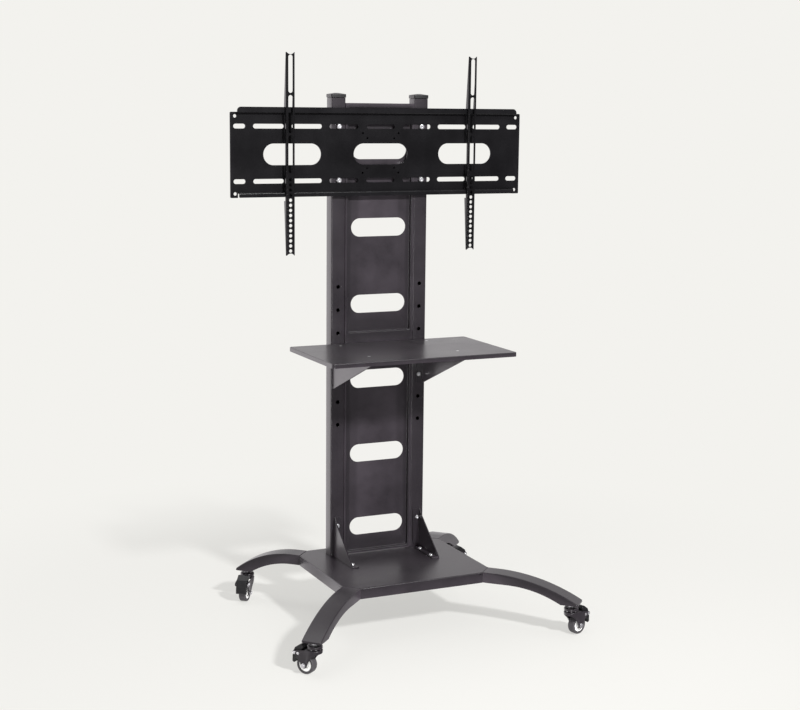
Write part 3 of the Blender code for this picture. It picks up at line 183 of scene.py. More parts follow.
mesh = bmesh.new()
bmesh.ops.create_circle(mesh, cap_ends=True, segments=96, radius=FLOOR_RADIUS)
floor_data = bpy.data.meshes.new("floor")
mesh.to_mesh(floor_data)
mesh.free()
floor_data.transform(Matrix.Translation((0.0, 0.0, -FLOOR_LIFT)))
floor = bpy.data.objects.new("floor", floor_data)
scene.collection.objects.link(floor)
floor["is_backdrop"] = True
material = bpy.data.materials.new("pale_floor")
material.use_nodes = True
nodes, links = material.node_tree.nodes, material.node_tree.links
nodes.clear()
matt = nodes.new("ShaderNodeBsdfDiffuse")
matt.inputs["Color"].default_value = (*FLOOR_COLOUR, 1.0)
glow = nodes.new("ShaderNodeEmission")
glow.inputs["Color"].default_value = (*SURROUND, 1.0)
spot = nodes.new("ShaderNodeTexCoord")
distance = nodes.new("ShaderNodeVectorMath")
distance.operation = "LENGTH"
links.new(spot.outputs["Object"], distance.inputs[0])
fade = nodes.new("ShaderNodeMapRange")
fade.interpolation_type = "SMOOTHSTEP"
fade.inputs["From Min"].default_value = FLOOR_FADE_START
fade.inputs["From Max"].default_value = FLOOR_FADE_END
fade.inputs["To Min"].default_value = 1.0 - FLOOR_LIT_SHARE
fade.inputs["To Max"].default_value = 1.0
links.new(distance.outputs["Value"], fade.inputs["Value"])
mixed = nodes.new("ShaderNodeMixShader")
links.new(fade.outputs[0], mixed.inputs["Fac"])
links.new(matt.outputs[0], mixed.inputs[1])
links.new(glow.outputs[0], mixed.inputs[2])
floor_ray = nodes.new("ShaderNodeLightPath")
passed = nodes.new("ShaderNodeBsdfTransparent")
reflected = nodes.new("ShaderNodeMixShader")
links.new(floor_ray.outputs["Is Glossy Ray"], reflected.inputs["Fac"])
links.new(mixed.outputs[0], reflected.inputs[1])
links.new(passed.outputs[0], reflected.inputs[2])
floor_output = nodes.new("ShaderNodeOutputMaterial")
links.new(reflected.outputs[0], floor_output.inputs["Surface"])
floor_data.materials.append(material)


# Base plate
# Three millimetre sheet with its rim folded down all round, its corners cut off for the legs, and a
# satin black powder coat with a faint purple cast, fine orange peel, and edges painted paler: partly
# rubbed wear and partly a painted highlight.
BASE_SHEET = 0.003
BASE_BEND = 0.0028
BASE_CHAMFER = 0.050 / math.sqrt(2)
BASE_CORNER = 0.002
COAT_COLOUR = (0.0112, 0.0092, 0.0114)
# How much paler than the coat the random flecks are, and the edges with their wear and painted highlight.
PALE_WEAR_AND_HIGHLIGHT_GAIN = 5.0


def polar(centre, distance, angle):
    """Point at a distance and an angle from a centre, in the plane of an outline."""
    return Vector((centre[0] + distance * math.cos(angle), centre[1] + distance * math.sin(angle)))


def circle(radius, sides=48, centre=(0.0, 0.0)):
    """Regular outline that starts at its lowest point."""
    return [polar(centre, radius, 2 * math.pi * side / sides - math.pi / 2) for side in range(sides)]


def fillet(corners, steps=5):
    """Round a closed outline; a corner is (u, v) where sharp and (u, v, radius) where round."""
    outline = []
    for index, corner in enumerate(corners):
        here = Vector(corner[:2])
        radius = corner[2] if len(corner) > 2 else 0.0
        if radius <= 0.0:
            outline.append(here)
            continue
        back = (Vector(corners[index - 1][:2]) - here).normalized()
        onward = (Vector(corners[(index + 1) % len(corners)][:2]) - here).normalized()
        half_angle = back.angle(onward) / 2
        centre = here + (back + onward).normalized() * radius / math.sin(half_angle)
        start = here + back * radius / math.tan(half_angle) - centre
        end = here + onward * radius / math.tan(half_angle) - centre
        sweep = math.atan2(start.x * end.y - start.y * end.x, start.dot(end))
        outline += [centre + Matrix.Rotation(sweep * step / steps, 2) @ start for step in range(steps + 1)]
    return outline


def rectangle(width, depth, radius=0.0, centre=(0.0, 0.0), steps=5):
    """Rectangle with round corners."""
    signs = ((-1, -1), (1, -1), (1, 1), (-1, 1))
    corners = [(centre[0] + u * width / 2, centre[1] + v * depth / 2, radius) for u, v in signs]
    return fillet(corners, steps)


def inset(outline, distance):
    """Move every side of a closed outline inwards by a distance."""
    moved = []
    for index, point in enumerate(outline):
        behind = (point - outline[index - 1]).normalized()
        onward = (outline[(index + 1) % len(outline)] - point).normalized()
        normals = Vector((-behind.y, behind.x)), Vector((-onward.y, onward.x))
        moved.append(point + (normals[0] + normals[1]) * distance / (1 + normals[0].dot(normals[1])))
    return moved


def skin(mesh, rings, closed=False):
    """Join rings of points with quads, and cap the ends unless the rings close on themselves."""
    rings = [[mesh.verts.new(point) for point in ring] for ring in rings]
    for lower, upper in zip(rings, rings[1:] + rings[:1] if closed else rings[1:]):
        for index in range(len(lower)):
            mesh.faces.new((lower[index - 1], lower[index], upper[index], upper[index - 1]))
    if not closed:
        mesh.faces.new(rings[0])
        mesh.faces.new(rings[-1])


def add_piece(name, mesh):
    """Turn a finished bmesh into an object of the scene."""
    bmesh.ops.recalc_face_normals(mesh, faces=mesh.faces)
    data = bpy.data.meshes.new(name)
    mesh.to_mesh(data)
    mesh.free()
    piece = bpy.data.objects.new(name, data)
    scene.collection.objects.link(piece)
    return piece


PLANES = {
    "XY": lambda u, v, w: (u, v, w),
    "XZ": lambda u, v, w: (u, w, v),
    "YZ": lambda u, v, w: (w, u, v),
}


def prisms(name, outlines, low, high, plane="XY"):
    """One object with a straight prism on each outline, from low to high across the plane."""
    mesh = bmesh.new()
    for outline in outlines:
        skin(mesh, [[PLANES[plane](*point, level) for point in outline] for level in (low, high)])
    return add_piece(name, mesh)


def loft(name, levels, plane="XY", closed=False):
    """Skin over pairs of an outline and its height."""
    mesh = bmesh.new()
    skin(mesh, [[PLANES[plane](*point, level) for point in outline] for outline, level in levels], closed)
    return add_piece(name, mesh)


def turned(name, profile, sides=48, plane="XY", closed=False):
    """Round piece from pairs of radius and height; a closed profile leaves a bore."""
    return loft(name, [(circle(radius, sides), height) for radius, height in profile], plane, closed)


def settle(piece):
    """Turn a piece's modifiers into plain mesh."""
    evaluated = piece.evaluated_get(bpy.context.evaluated_depsgraph_get())
    result = bpy.data.meshes.new_from_object(evaluated)
    piece.modifiers.clear()
    spent = piece.data
    piece.data = result
    bpy.data.meshes.remove(spent)
    return piece


def combine(piece, tool, operation="DIFFERENCE"):
    """Cut a tool out of a piece, or add it, and remove the tool."""
    modifier = piece.modifiers.new(operation, "BOOLEAN")
    modifier.operation = operation
    modifier.solver = "EXACT"
    modifier.object = tool
    settle(piece)
    bpy.data.objects.remove(tool)
    return piece


def soften(piece, edge=0.0, angle=32, segments=2):
    """Round the sharp edges a little and shade the rest smooth."""
    mesh = bmesh.new()
    mesh.from_mesh(piece.data)
    bmesh.ops.remove_doubles(mesh, verts=mesh.verts, dist=0.00001)
    bmesh.ops.dissolve_limit(mesh, angle_limit=math.radians(0.4), verts=mesh.verts, edges=mesh.edges)
    mesh.to_mesh(piece.data)
    mesh.free()
    piece.data.shade_smooth()
    piece.data.set_sharp_from_angle(angle=math.radians(angle))
    if edge > 0.0:
        bevel = piece.modifiers.new("rounded edges", "BEVEL")
        bevel.width = edge
        bevel.segments = segments
        bevel.limit_method = "ANGLE"
        bevel.angle_limit = math.radians(angle)
        bevel.harden_normals = True
        settle(piece)
    else:
        weighted = piece.modifiers.new("large faces flat", "WEIGHTED_NORMAL")
        weighted.keep_sharp = True
        settle(piece)
    return piece


def fit(piece, finish, body, slot_name, *cad_nodes):
    """Give a piece its finish and its body, and let it stand for its CAD nodes."""
    piece.data.materials.clear()
    piece.data.materials.append(finish)
    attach(piece, body)
    if cad_nodes:
        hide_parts(*cad_nodes)
    return piece


def shader_group(name, values, results):
    """Empty shader group with named value inputs and named results."""
    group = bpy.data.node_groups.new(name, "ShaderNodeTree")
    for label, kind in values:
        group.interface.new_socket(label, in_out="INPUT", socket_type=kind)
    for label, kind in results:
        group.interface.new_socket(label, in_out="OUTPUT", socket_type=kind)
    return group, group.nodes.new("NodeGroupInput"), group.nodes.new("NodeGroupOutput")


def noise(tree, scale, detail=2.0, roughness=0.5):
    """Noise on object coordinates, with its scale in waves to the metre."""
    coordinates = tree.nodes.new("ShaderNodeTexCoord")
    texture = tree.nodes.new("ShaderNodeTexNoise")
    texture.inputs["Scale"].default_value = scale
    texture.inputs["Detail"].default_value = detail
    texture.inputs["Roughness"].default_value = roughness
    tree.links.new(coordinates.outputs["Object"], texture.inputs["Vector"])
    return texture.outputs["Fac"]


def spread(tree, source, low, high, to_low, to_high):
    """Map a range of a value to another range."""
    node = tree.nodes.new("ShaderNodeMapRange")
    for label, value in (("From Min", low), ("From Max", high), ("To Min", to_low), ("To Max", to_high)):
        node.inputs[label].default_value = value
    tree.links.new(source, node.inputs["Value"])
    return node.outputs["Result"]


def arithmetic(tree, operation, first, second):
    """Math node on two sockets or numbers."""
    node = tree.nodes.new("ShaderNodeMath")
    node.operation = operation
    for slot_index, value in enumerate((first, second)):
        if isinstance(value, (int, float)):
            node.inputs[slot_index].default_value = value
        else:
            tree.links.new(value, node.inputs[slot_index])
    return node.outputs[0]


def tint(tree, share, first, second):
    """Mix of two colours by a share."""
    node = tree.nodes.new("ShaderNodeMix")
    node.data_type = "RGBA"
    tree.links.new(share, node.inputs["Factor"])
    for socket, value in ((node.inputs[6], first), (node.inputs[7], second)):
        if isinstance(value, tuple):
            socket.default_value = (*value, 1.0)
        else:
            tree.links.new(value, socket)
    return node.outputs[2]


def relief(tree, height, strength, distance):
    """Normal of a surface with a height on it."""
    node = tree.nodes.new("ShaderNodeBump")
    node.inputs["Distance"].default_value = distance
    tree.links.new(height, node.inputs["Height"])
    if isinstance(strength, (int, float)):
        node.inputs["Strength"].default_value = strength
    else:
        tree.links.new(strength, node.inputs["Strength"])
    return node.outputs["Normal"]


coat_group, given, result = shader_group(
    "powder coat surface",
    (("Colour", "NodeSocketColor"), ("Pale Wear And Highlight Colour", "NodeSocketColor"), ("Roughness", "NodeSocketFloat"),
     ("Orange Peel", "NodeSocketFloat")),
    (("Colour", "NodeSocketColor"), ("Roughness", "NodeSocketFloat"), ("Normal", "NodeSocketVector")))
cloud = noise(coat_group, 9.0, 4.0, 0.6)
grain = noise(coat_group, 1500.0, 2.0)
peel = noise(coat_group, 620.0, 2.0, 0.45)
# Convex edges are painted paler by pointiness: partly rubbed wear, partly a painted highlight where the edges
# catch the light.
edge_pointiness = coat_group.nodes.new("ShaderNodeNewGeometry").outputs["Pointiness"]
edge_wear_and_highlight_mask = spread(coat_group, edge_pointiness, 0.53, 0.62, 0.0, 1.0)
patchy_wear_and_highlight = arithmetic(coat_group, "MULTIPLY", edge_wear_and_highlight_mask, spread(coat_group, cloud, 0.35, 0.65, 0.25, 1.0))
mottle = spread(coat_group, cloud, 0.3, 0.7, 0.0, 0.10)
fleck = spread(coat_group, grain, 0.35, 0.75, 0.0, 0.22)
paler = tint(coat_group, arithmetic(coat_group, "ADD", mottle, fleck), given.outputs["Colour"],
             given.outputs["Pale Wear And Highlight Colour"])
coat_group.links.new(tint(coat_group, patchy_wear_and_highlight, paler, given.outputs["Pale Wear And Highlight Colour"]), result.inputs["Colour"])
sheen = arithmetic(coat_group, "ADD", given.outputs["Roughness"],
                   spread(coat_group, grain, 0.3, 0.7, -0.035, 0.035))
sheen = arithmetic(coat_group, "ADD", sheen, spread(coat_group, cloud, 0.3, 0.7, -0.03, 0.03))
coat_group.links.new(sheen, result.inputs["Roughness"])
coat_group.links.new(relief(coat_group, peel, given.outputs["Orange Peel"], 0.0004), result.inputs["Normal"])


def surfaced(name, group, values):
    """Material whose colour, roughness and normal come from a shader group with these values."""
    material = bpy.data.materials.new(name)
    material.use_nodes = True
    tree = material.node_tree
    surface = tree.nodes.new("ShaderNodeGroup")
    surface.node_tree = group
    for label, value in values.items():
        surface.inputs[label].default_value = (*value, 1.0) if isinstance(value, tuple) else value
    for label, socket in (("Colour", "Base Color"), ("Roughness", "Roughness"), ("Normal", "Normal")):
        tree.links.new(surface.outputs[label], tree.nodes["Principled BSDF"].inputs[socket])
    return material


def powder_coat(name, colour=COAT_COLOUR, roughness=0.32, orange_peel=0.09, mirror_level=0.5):
    """Satin black powder coat on steel, with paler flecks and edges painted paler as wear and painted
    highlight.
    """
    material = surfaced(name, coat_group, {
        "Colour": colour, "Pale Wear And Highlight Colour": tuple(PALE_WEAR_AND_HIGHLIGHT_GAIN * channel for channel in colour),
        "Roughness": roughness, "Orange Peel": orange_peel})
    material.node_tree.nodes["Principled BSDF"].inputs["Specular IOR Level"].default_value = mirror_level
    return material


coated_steel = powder_coat("coated_steel")
low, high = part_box("base_plate")
outline = fillet([
    (low.x + BASE_CHAMFER, low.y, BASE_CORNER), (high.x - BASE_CHAMFER, low.y, BASE_CORNER),
    (high.x, low.y + BASE_CHAMFER, BASE_CORNER), (high.x, high.y - BASE_CHAMFER, BASE_CORNER),
    (high.x - BASE_CHAMFER, high.y, BASE_CORNER), (low.x + BASE_CHAMFER, high.y, BASE_CORNER),
    (low.x, high.y - BASE_CHAMFER, BASE_CORNER), (low.x, low.y + BASE_CHAMFER, BASE_CORNER)], 3)


def folded_tray(name, outline, top, bottom, sheet, bend, steps=6):
    """Sheet with its rim folded down all round, and the fold rounded outside and inside."""
    levels = []
    for step in range(steps + 1):
        angle = math.pi / 2 * step / steps
        levels.append((inset(outline, bend * (1 - math.sin(angle))), top - bend * (1 - math.cos(angle))))
    levels += [(outline, bottom), (inset(outline, sheet), bottom)]
    inner, inner_bend = inset(outline, sheet), bend * 0.4
    for step in range(steps + 1):
        angle = math.pi / 2 * (1 - step / steps)
        levels.append((inset(inner, inner_bend * (1 - math.sin(angle))),
                       top - sheet - inner_bend * (1 - math.cos(angle))))
    return loft(name, levels)


base = soften(folded_tray("base_plate_coated", outline, high.z, low.z, BASE_SHEET, BASE_BEND))
fit(base, coated_steel, stand_body, "frame_black", "base_plate")
base_top = high.z


# Legs
# Four pressed channels of 2.5 mm steel, open below, arched from the base plate's cut corners down to a
# flat pad for the caster, with the press's soft edge along the top and the same powder coat.
LEG_WIDTH = 0.050
LEG_SHEET = 0.0025
LEG_ROOT_HEIGHT = 0.0265
LEG_TOP_STRAIGHT = 0.025
LEG_PAD_LENGTH = 0.045
LEG_PAD_THICKNESS = 0.005
LEG_TIP_THICKNESS = 0.0045
LEG_TOP_EDGE = 0.0024
LEG_TIP_CORNER = 0.003
LEG_INSIDE_EDGE = 0.0013
LEG_POCKET_EDGE = 0.0005
LEG_POCKET_OVERLAP = 0.004
LEG_ROOF_MARGIN = 0.0006
SEAM = 0.0003
LEG_ROOT_GAP = SEAM / math.sqrt(2)
LEG_REACHES = {"front": (0.249, 0.065), "rear": (0.186, 0.025)}
CORNER_SIDES = {"front_left": (-1, -1), "front_right": (1, -1), "rear_left": (-1, 1), "rear_right": (1, 1)}
STEM_INSET = 0.0225
STUD_RADIUS = 0.0049
pad_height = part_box("leg_front_left")[0].z


def arc_height(start, end, along, offset=0.0):
    """Height of an arc that leaves a start level and comes down through an end."""
    run, fall = end[0] - start[0], start[1] - end[1]
    radius = (run * run + fall * fall) / (2 * fall)
    across = min(max(along - start[0], 0.0), radius - offset)
    return start[1] - radius + math.sqrt((radius - offset) ** 2 - across ** 2)


def channel_slice(half_width, low, high, edge):
    """Upright slice through a leg, with its two top corners rounded."""
    return fillet([(-half_width, low), (half_width, low), (half_width, high, edge),
                   (-half_width, high, edge)])


def pressed_leg(name, reach, under_straight):
    """Arched inverted channel with its caster pad, along +X from its root."""
    crest, tip = (LEG_TOP_STRAIGHT, base_top), (reach, pad_height + LEG_TIP_THICKNESS)
    pad_start, half = reach - LEG_PAD_LENGTH, LEG_WIDTH / 2
    under = (under_straight, base_top - LEG_ROOT_HEIGHT), (pad_start, pad_height)
    stops = {SEAM, LEG_TOP_STRAIGHT, under_straight, pad_start, reach}
    stops |= {reach * step / 44 for step in range(1, 45)}
    stops |= {reach - LEG_TIP_CORNER * (1 - math.cos(math.radians(18 * step))) for step in range(6)}
    levels = []
    for along in sorted(stops):
        top = arc_height(crest, tip, along)
        bottom = arc_height(*under, along) if along < pad_start else pad_height
        to_end = max(LEG_TIP_CORNER - (reach - along), 0.0)
        narrowed = half - LEG_TIP_CORNER + math.sqrt(LEG_TIP_CORNER ** 2 - to_end ** 2)
        edge = min(LEG_TOP_EDGE, 0.7 * (top - bottom))
        levels.append((channel_slice(narrowed, bottom, top, edge), along))
    leg = loft(name, levels, "YZ")
    inside, pad_top = half - LEG_SHEET, pad_height + LEG_PAD_THICKNESS
    roof = [reach * step / 40 for step in range(-1, 41)]
    roof = [along for along in roof if arc_height(crest, tip, along, LEG_SHEET) > pad_top + LEG_ROOF_MARGIN]
    hollow, pocket = [], []
    for along in [along for along in roof if along < pad_start] + [pad_start]:
        ceiling = arc_height(crest, tip, along, LEG_SHEET)
        hollow.append((channel_slice(inside, pad_height - LEG_WIDTH, ceiling, LEG_INSIDE_EDGE), along))
    for along in [pad_start - LEG_POCKET_OVERLAP] + [along for along in roof if along > pad_start]:
        ceiling = arc_height(crest, tip, along, LEG_SHEET)
        pocket.append((channel_slice(inside, pad_top, ceiling, LEG_POCKET_EDGE), along))
    combine(leg, loft("hollow", hollow, "YZ"))
    combine(leg, loft("pocket", pocket, "YZ"))
    bore = circle(STUD_RADIUS + SEAM, 48, (reach - STEM_INSET, 0.0))
    combine(leg, prisms("bore", [bore], pad_height - LEG_SHEET, pad_top + LEG_SHEET / 2))
    return soften(leg)


base_low, base_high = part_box("base_plate")
stem_spots = {}
for corner, (side, way) in CORNER_SIDES.items():
    reach, under_straight = LEG_REACHES[corner.split("_")[0]]
    root_line = base_high.x - BASE_CHAMFER / 2 + LEG_ROOT_GAP
    root_depth = (base_high.y if way > 0 else base_low.y) + way * (LEG_ROOT_GAP - BASE_CHAMFER / 2)
    root = Vector((side * root_line, root_depth, 0.0))
    leg = pressed_leg("leg_coated_" + corner, reach, under_straight)
    leg.data.transform(Matrix.Translation(root) @ Matrix.Rotation(math.atan2(way, side), 4, "Z"))
    fit(leg, coated_steel, stand_body, "frame_black", "leg_" + corner)
    stem_spots[corner] = root + Vector((side, way, 0.0)) * (reach - STEM_INSET) / math.sqrt(2)


# Caster forks and bearings
# Each fork is 2.5 mm steel pressed to a round crown and two plates that taper to the axle. A ring of
# bright balls runs between its crown and a pressed cup, on a turned stem with a hexagon collar.
CASTER_HEADINGS = {"front_left": 125, "front_right": 17, "rear_left": 232, "rear_right": 5}
WHEEL_RADIUS = 0.023
AXLE = Vector((0.022, WHEEL_RADIUS))
FORK_SHEET = 0.0025
FORK_CROWN_WIDTH = 0.038
FORK_AXLE_WIDTH = 0.030
FORK_AXLE_BOSS = 0.008
FORK_FOLD = 0.0022
FORK_SKIRT_DROP = 0.005
FORK_BROW_DROP = 0.0215
FORK_BROW_RADIUS = 0.020
FORK_PIN_MARGIN = 0.004
FORK_SHOULDER_RISE = 0.0072
FORK_SHOULDER_RADIUS = 0.004
FORK_EAR_RADIUS = 0.003
FORK_THROAT_DROP = 0.006
FORK_THROAT_RADIUS = 0.008
CROWN_FLAT_SHARE = 0.8
AXLE_HOLE_RADIUS = 0.0033
RIVET_HOLE_RADIUS = 0.0023
KING_PIN_RADIUS = 0.005
KING_PIN_BORE = 0.0053
PIN_HEAD_RADIUS = 0.0080
PIN_HEAD_HEIGHT = 0.0035
STEM_SHOULDER_RADIUS = 0.0075
STUD_DEPTH = 0.0045
RACE_FLARE = 0.0015
FOLD_START = 0.0065
FOLD_WIDTH = 0.0016
FOLD_DEPTH = 0.0004
FOLD_LEAN = 0.75
CROWN_UNDERSIDE = 0.0599
CROWN_TOP = CROWN_UNDERSIDE + FORK_SHEET
CROWN_LENGTH = 0.019
KING_BOSS_RADIUS = 0.0115
KING_BOSS_TOP = CROWN_TOP + 0.0076
BALL_RADIUS = 0.0023
BALL_COUNT = 8
CUP_RIM = CROWN_TOP + 0.0036
CUP_TOP = CUP_RIM + 0.0080
CUP_SHEET = 0.0016
CUP_WALL_HEIGHT = 0.0038
CUP_SHOULDER = 0.0048
CUP_RIM_ROUND = 0.0004
CUP_BALL_GAP = 0.00075
COLLAR_ACROSS = 0.015
COLLAR_BOTTOM = CUP_TOP + SEAM
COLLAR_TOP = COLLAR_BOTTOM + 0.0082
BRAKE_PIVOT = polar(AXLE, WHEEL_RADIUS + 0.0083, math.radians(63.4))
FORK_EAR = polar(AXLE, WHEEL_RADIUS + 0.0145, math.radians(48.2))
RIVET_RADIUS = 0.0035
RIVET_HEIGHT = 0.0012
ZINC_COLOUR = (0.83, 0.83, 0.84)
DULL_ZINC = (0.72, 0.72, 0.75)


def hexagon(across, sides=48):
    """Hexagon by its width across flats, with as many points as the circles that it joins."""
    points = []
    for side in range(sides):
        angle = 2 * math.pi * side / sides - math.pi / 2
        from_flat = (angle + math.pi / 2) % (math.pi / 3) - math.pi / 6
        points.append(polar((0.0, 0.0), across / 2 / math.cos(from_flat), angle))
    return points


def drawn_in(outline, limit):
    """Outline about the centre with no point further out than a limit."""
    return [point * min(1.0, limit / point.length) for point in outline]


def rounded_hexagon(name, across, low, high, plane="XY", sides=48):
    """Hexagon prism whose corners are turned off at both ends, as on a nut."""
    crown, corner_reach = across / 2 * 1.01, across / math.sqrt(3)
    step_in = (corner_reach - crown) * 0.6
    small, full = (drawn_in(hexagon(across, sides), limit) for limit in (crown, corner_reach))
    return loft(name, [(small, low), (full, low + step_in), (full, high - step_in), (small, high)], plane)


def fork_half_width(height):
    """Outer half width of the tapering fork at a height."""
    share = (CROWN_TOP - height) / (CROWN_TOP - AXLE.y)
    return (FORK_CROWN_WIDTH + (FORK_AXLE_WIDTH - FORK_CROWN_WIDTH) * share) / 2


def fork_plan(half_width, back, height):
    """Plan of the fork: round in front about the swivel axis, with a crease down each flat plate."""
    front = [polar((0.0, 0.0), half_width, math.pi / 2 + math.pi * step / 28) for step in range(29)]
    fold = FOLD_START + (AXLE.x - FOLD_START) * (CROWN_TOP - height) / (CROWN_TOP - AXLE.y) * FOLD_LEAN
    flat = half_width - FOLD_DEPTH
    side = [Vector((fold, -half_width)), Vector((fold + FOLD_WIDTH, -flat)), Vector((back, -flat))]
    return front + side + [Vector((point.x, -point.y)) for point in side[::-1]]


def fork_side_view():
    """Side view of the fork, from the skirt in front round the axle to the brake rivets."""
    front, margin = -FORK_CROWN_WIDTH / 2 - FORK_SHEET, FORK_PIN_MARGIN
    behind_pivot, behind_ear = BRAKE_PIVOT.x + margin, FORK_EAR.x + margin
    boss = [polar(AXLE, FORK_AXLE_BOSS, math.radians(10 - 180 * step / 16)) for step in range(17)]
    corners = [(front, CROWN_TOP + FORK_SHEET), (CROWN_LENGTH * CROWN_FLAT_SHARE, CROWN_TOP + FORK_SHEET),
               (CROWN_LENGTH, CROWN_TOP - FORK_SHEET / 2),
               (behind_pivot, BRAKE_PIVOT.y + FORK_SHOULDER_RISE, FORK_SHOULDER_RADIUS),
               (behind_ear, FORK_EAR.y + margin, FORK_EAR_RADIUS),
               (behind_ear, FORK_EAR.y - margin, FORK_EAR_RADIUS),
               (behind_pivot, BRAKE_PIVOT.y - FORK_THROAT_DROP, FORK_THROAT_RADIUS)]
    corners += [tuple(point) for point in boss]
    skirt = CROWN_UNDERSIDE - FORK_SKIRT_DROP
    corners += [(AXLE.x - 2 * FORK_AXLE_BOSS, CROWN_UNDERSIDE - FORK_BROW_DROP, FORK_BROW_RADIUS),
                (-FORK_CROWN_WIDTH / 3, skirt, FORK_BROW_RADIUS), (front, skirt)]
    return fillet(corners, 8)


def pressed_fork():
    """Fork about the swivel axis, with its raised inner race."""
    back = FORK_EAR.x + FORK_CROWN_WIDTH / 2
    low, deep = AXLE.y - 2 * FORK_AXLE_BOSS, AXLE.y - 3 * FORK_AXLE_BOSS
    levels = [(fork_plan(fork_half_width(low), back, low), low)]
    for step in range(6):
        angle = math.pi / 2 * step / 5
        height = CROWN_TOP - FORK_FOLD * (1 - math.sin(angle))
        turned_in = fork_half_width(CROWN_TOP - FORK_FOLD) - FORK_FOLD * (1 - math.cos(angle))
        levels.append((fork_plan(turned_in, back, CROWN_TOP), height))
    fork = loft("fork_pressed", levels)
    inner = [(fork_plan(fork_half_width(level) - FORK_SHEET, 2 * back, level), level)
             for level in (deep, CROWN_UNDERSIDE)]
    combine(fork, loft("inside", inner))
    gap = fork_half_width(CROWN_UNDERSIDE) - FORK_SHEET
    rear = rectangle(2 * back - 2 * CROWN_LENGTH, 2 * gap, 0.0, (back, 0.0))
    combine(fork, prisms("rear", [rear], CROWN_UNDERSIDE - FORK_SHEET, CROWN_TOP + FORK_SHEET))
    side_view = prisms("side_view", [fork_side_view()], -FORK_CROWN_WIDTH, FORK_CROWN_WIDTH, "XZ")
    combine(fork, side_view, "INTERSECT")
    flare = [(KING_BOSS_RADIUS + RACE_FLARE * (1 - math.sin(math.radians(18 * step))),
              CROWN_TOP - 0.0002 + RACE_FLARE * (1 - math.cos(math.radians(18 * step)))) for step in range(6)]
    race = [(flare[0][0], CROWN_TOP - 0.001), *flare, (KING_BOSS_RADIUS, KING_BOSS_TOP - 0.001),
            (KING_BOSS_RADIUS - 0.001, KING_BOSS_TOP)]
    combine(fork, turned("race", race, 64), "UNION")
    holes = [circle(AXLE_HOLE_RADIUS, 32, AXLE)]
    holes += [circle(RIVET_HOLE_RADIUS, 32, spot) for spot in (BRAKE_PIVOT, FORK_EAR)]
    combine(fork, prisms("holes", holes, -FORK_CROWN_WIDTH, FORK_CROWN_WIDTH, "XZ"))
    bore = [(KING_BOSS_RADIUS - FORK_SHEET, CROWN_UNDERSIDE - FORK_SHEET),
            (KING_BOSS_RADIUS - FORK_SHEET, KING_BOSS_TOP - FORK_SHEET),
            (KING_PIN_BORE, KING_BOSS_TOP - FORK_SHEET), (KING_PIN_BORE, KING_BOSS_TOP + FORK_SHEET)]
    combine(fork, turned("bore", bore, 48))
    return soften(fork, 0.0004, 30)


def stem_shape():
    """King pin, shoulder, hexagon collar and stud, turned in one piece."""
    pin_top, seat = KING_BOSS_TOP - FORK_SHEET - SEAM, KING_BOSS_TOP + SEAM
    under_cup = CUP_TOP - CUP_SHEET - SEAM
    profile = [(PIN_HEAD_RADIUS, pin_top - PIN_HEAD_HEIGHT), (PIN_HEAD_RADIUS, pin_top),
               (KING_PIN_RADIUS, pin_top), (KING_PIN_RADIUS, seat), (STEM_SHOULDER_RADIUS, seat),
               (STEM_SHOULDER_RADIUS, under_cup), (KING_PIN_RADIUS, under_cup),
               (KING_PIN_RADIUS, COLLAR_BOTTOM + 0.001), (STUD_RADIUS, COLLAR_TOP - 0.001),
               (STUD_RADIUS, pad_height + STUD_DEPTH)]
    stem = turned("stem_turned", profile, 48)
    combine(stem, rounded_hexagon("collar", COLLAR_ACROSS, COLLAR_BOTTOM, COLLAR_TOP), "UNION")
    return soften(stem, 0.0, 30)


def cup_shape():
    """Pressed cup over the balls, with a rolled rim and a rounded shoulder."""
    inner = KING_BOSS_RADIUS + 2 * BALL_RADIUS + CUP_BALL_GAP
    outer, shoulder, radius = inner + CUP_SHEET, CUP_RIM + CUP_WALL_HEIGHT, CUP_SHOULDER
    curve = [(outer - radius * (1 - math.cos(math.radians(angle))),
              shoulder + (CUP_TOP - shoulder) * math.sin(math.radians(angle))) for angle in range(0, 91, 10)]
    under = [(inner - radius * (1 - math.cos(math.radians(angle))),
              shoulder + (CUP_TOP - CUP_SHEET - shoulder) * math.sin(math.radians(angle)))
             for angle in range(90, -1, -10)]
    rim = [(inner, CUP_RIM + CUP_RIM_ROUND), (inner + CUP_RIM_ROUND, CUP_RIM),
           (outer - CUP_RIM_ROUND, CUP_RIM), (outer, CUP_RIM + CUP_RIM_ROUND)]
    profile = rim + curve + [(KING_PIN_BORE, CUP_TOP), (KING_PIN_BORE, CUP_TOP - CUP_SHEET)] + under
    return soften(turned("cup_pressed", profile, 72, closed=True))


def geometry_tree(name, values):
    """Empty geometry tree with named inputs after the incoming geometry."""
    tree = bpy.data.node_groups.new(name, "GeometryNodeTree")
    tree.interface.new_socket("Geometry", in_out="INPUT", socket_type="NodeSocketGeometry")
    for label, kind in values:
        tree.interface.new_socket(label, in_out="INPUT", socket_type=kind)
    tree.interface.new_socket("Geometry", in_out="OUTPUT", socket_type="NodeSocketGeometry")
    return tree, tree.nodes.new("NodeGroupInput"), tree.nodes.new("NodeGroupOutput")


def finish_tree(tree, given, geometry, result):
    """Turn instances into plain mesh and give it the material."""
    real = tree.nodes.new("GeometryNodeRealizeInstances")
    painted = tree.nodes.new("GeometryNodeSetMaterial")
    tree.links.new(geometry, real.inputs["Geometry"])
    tree.links.new(real.outputs["Geometry"], painted.inputs["Geometry"])
    tree.links.new(given.outputs["Material"], painted.inputs["Material"])
    tree.links.new(painted.outputs["Geometry"], result.inputs["Geometry"])


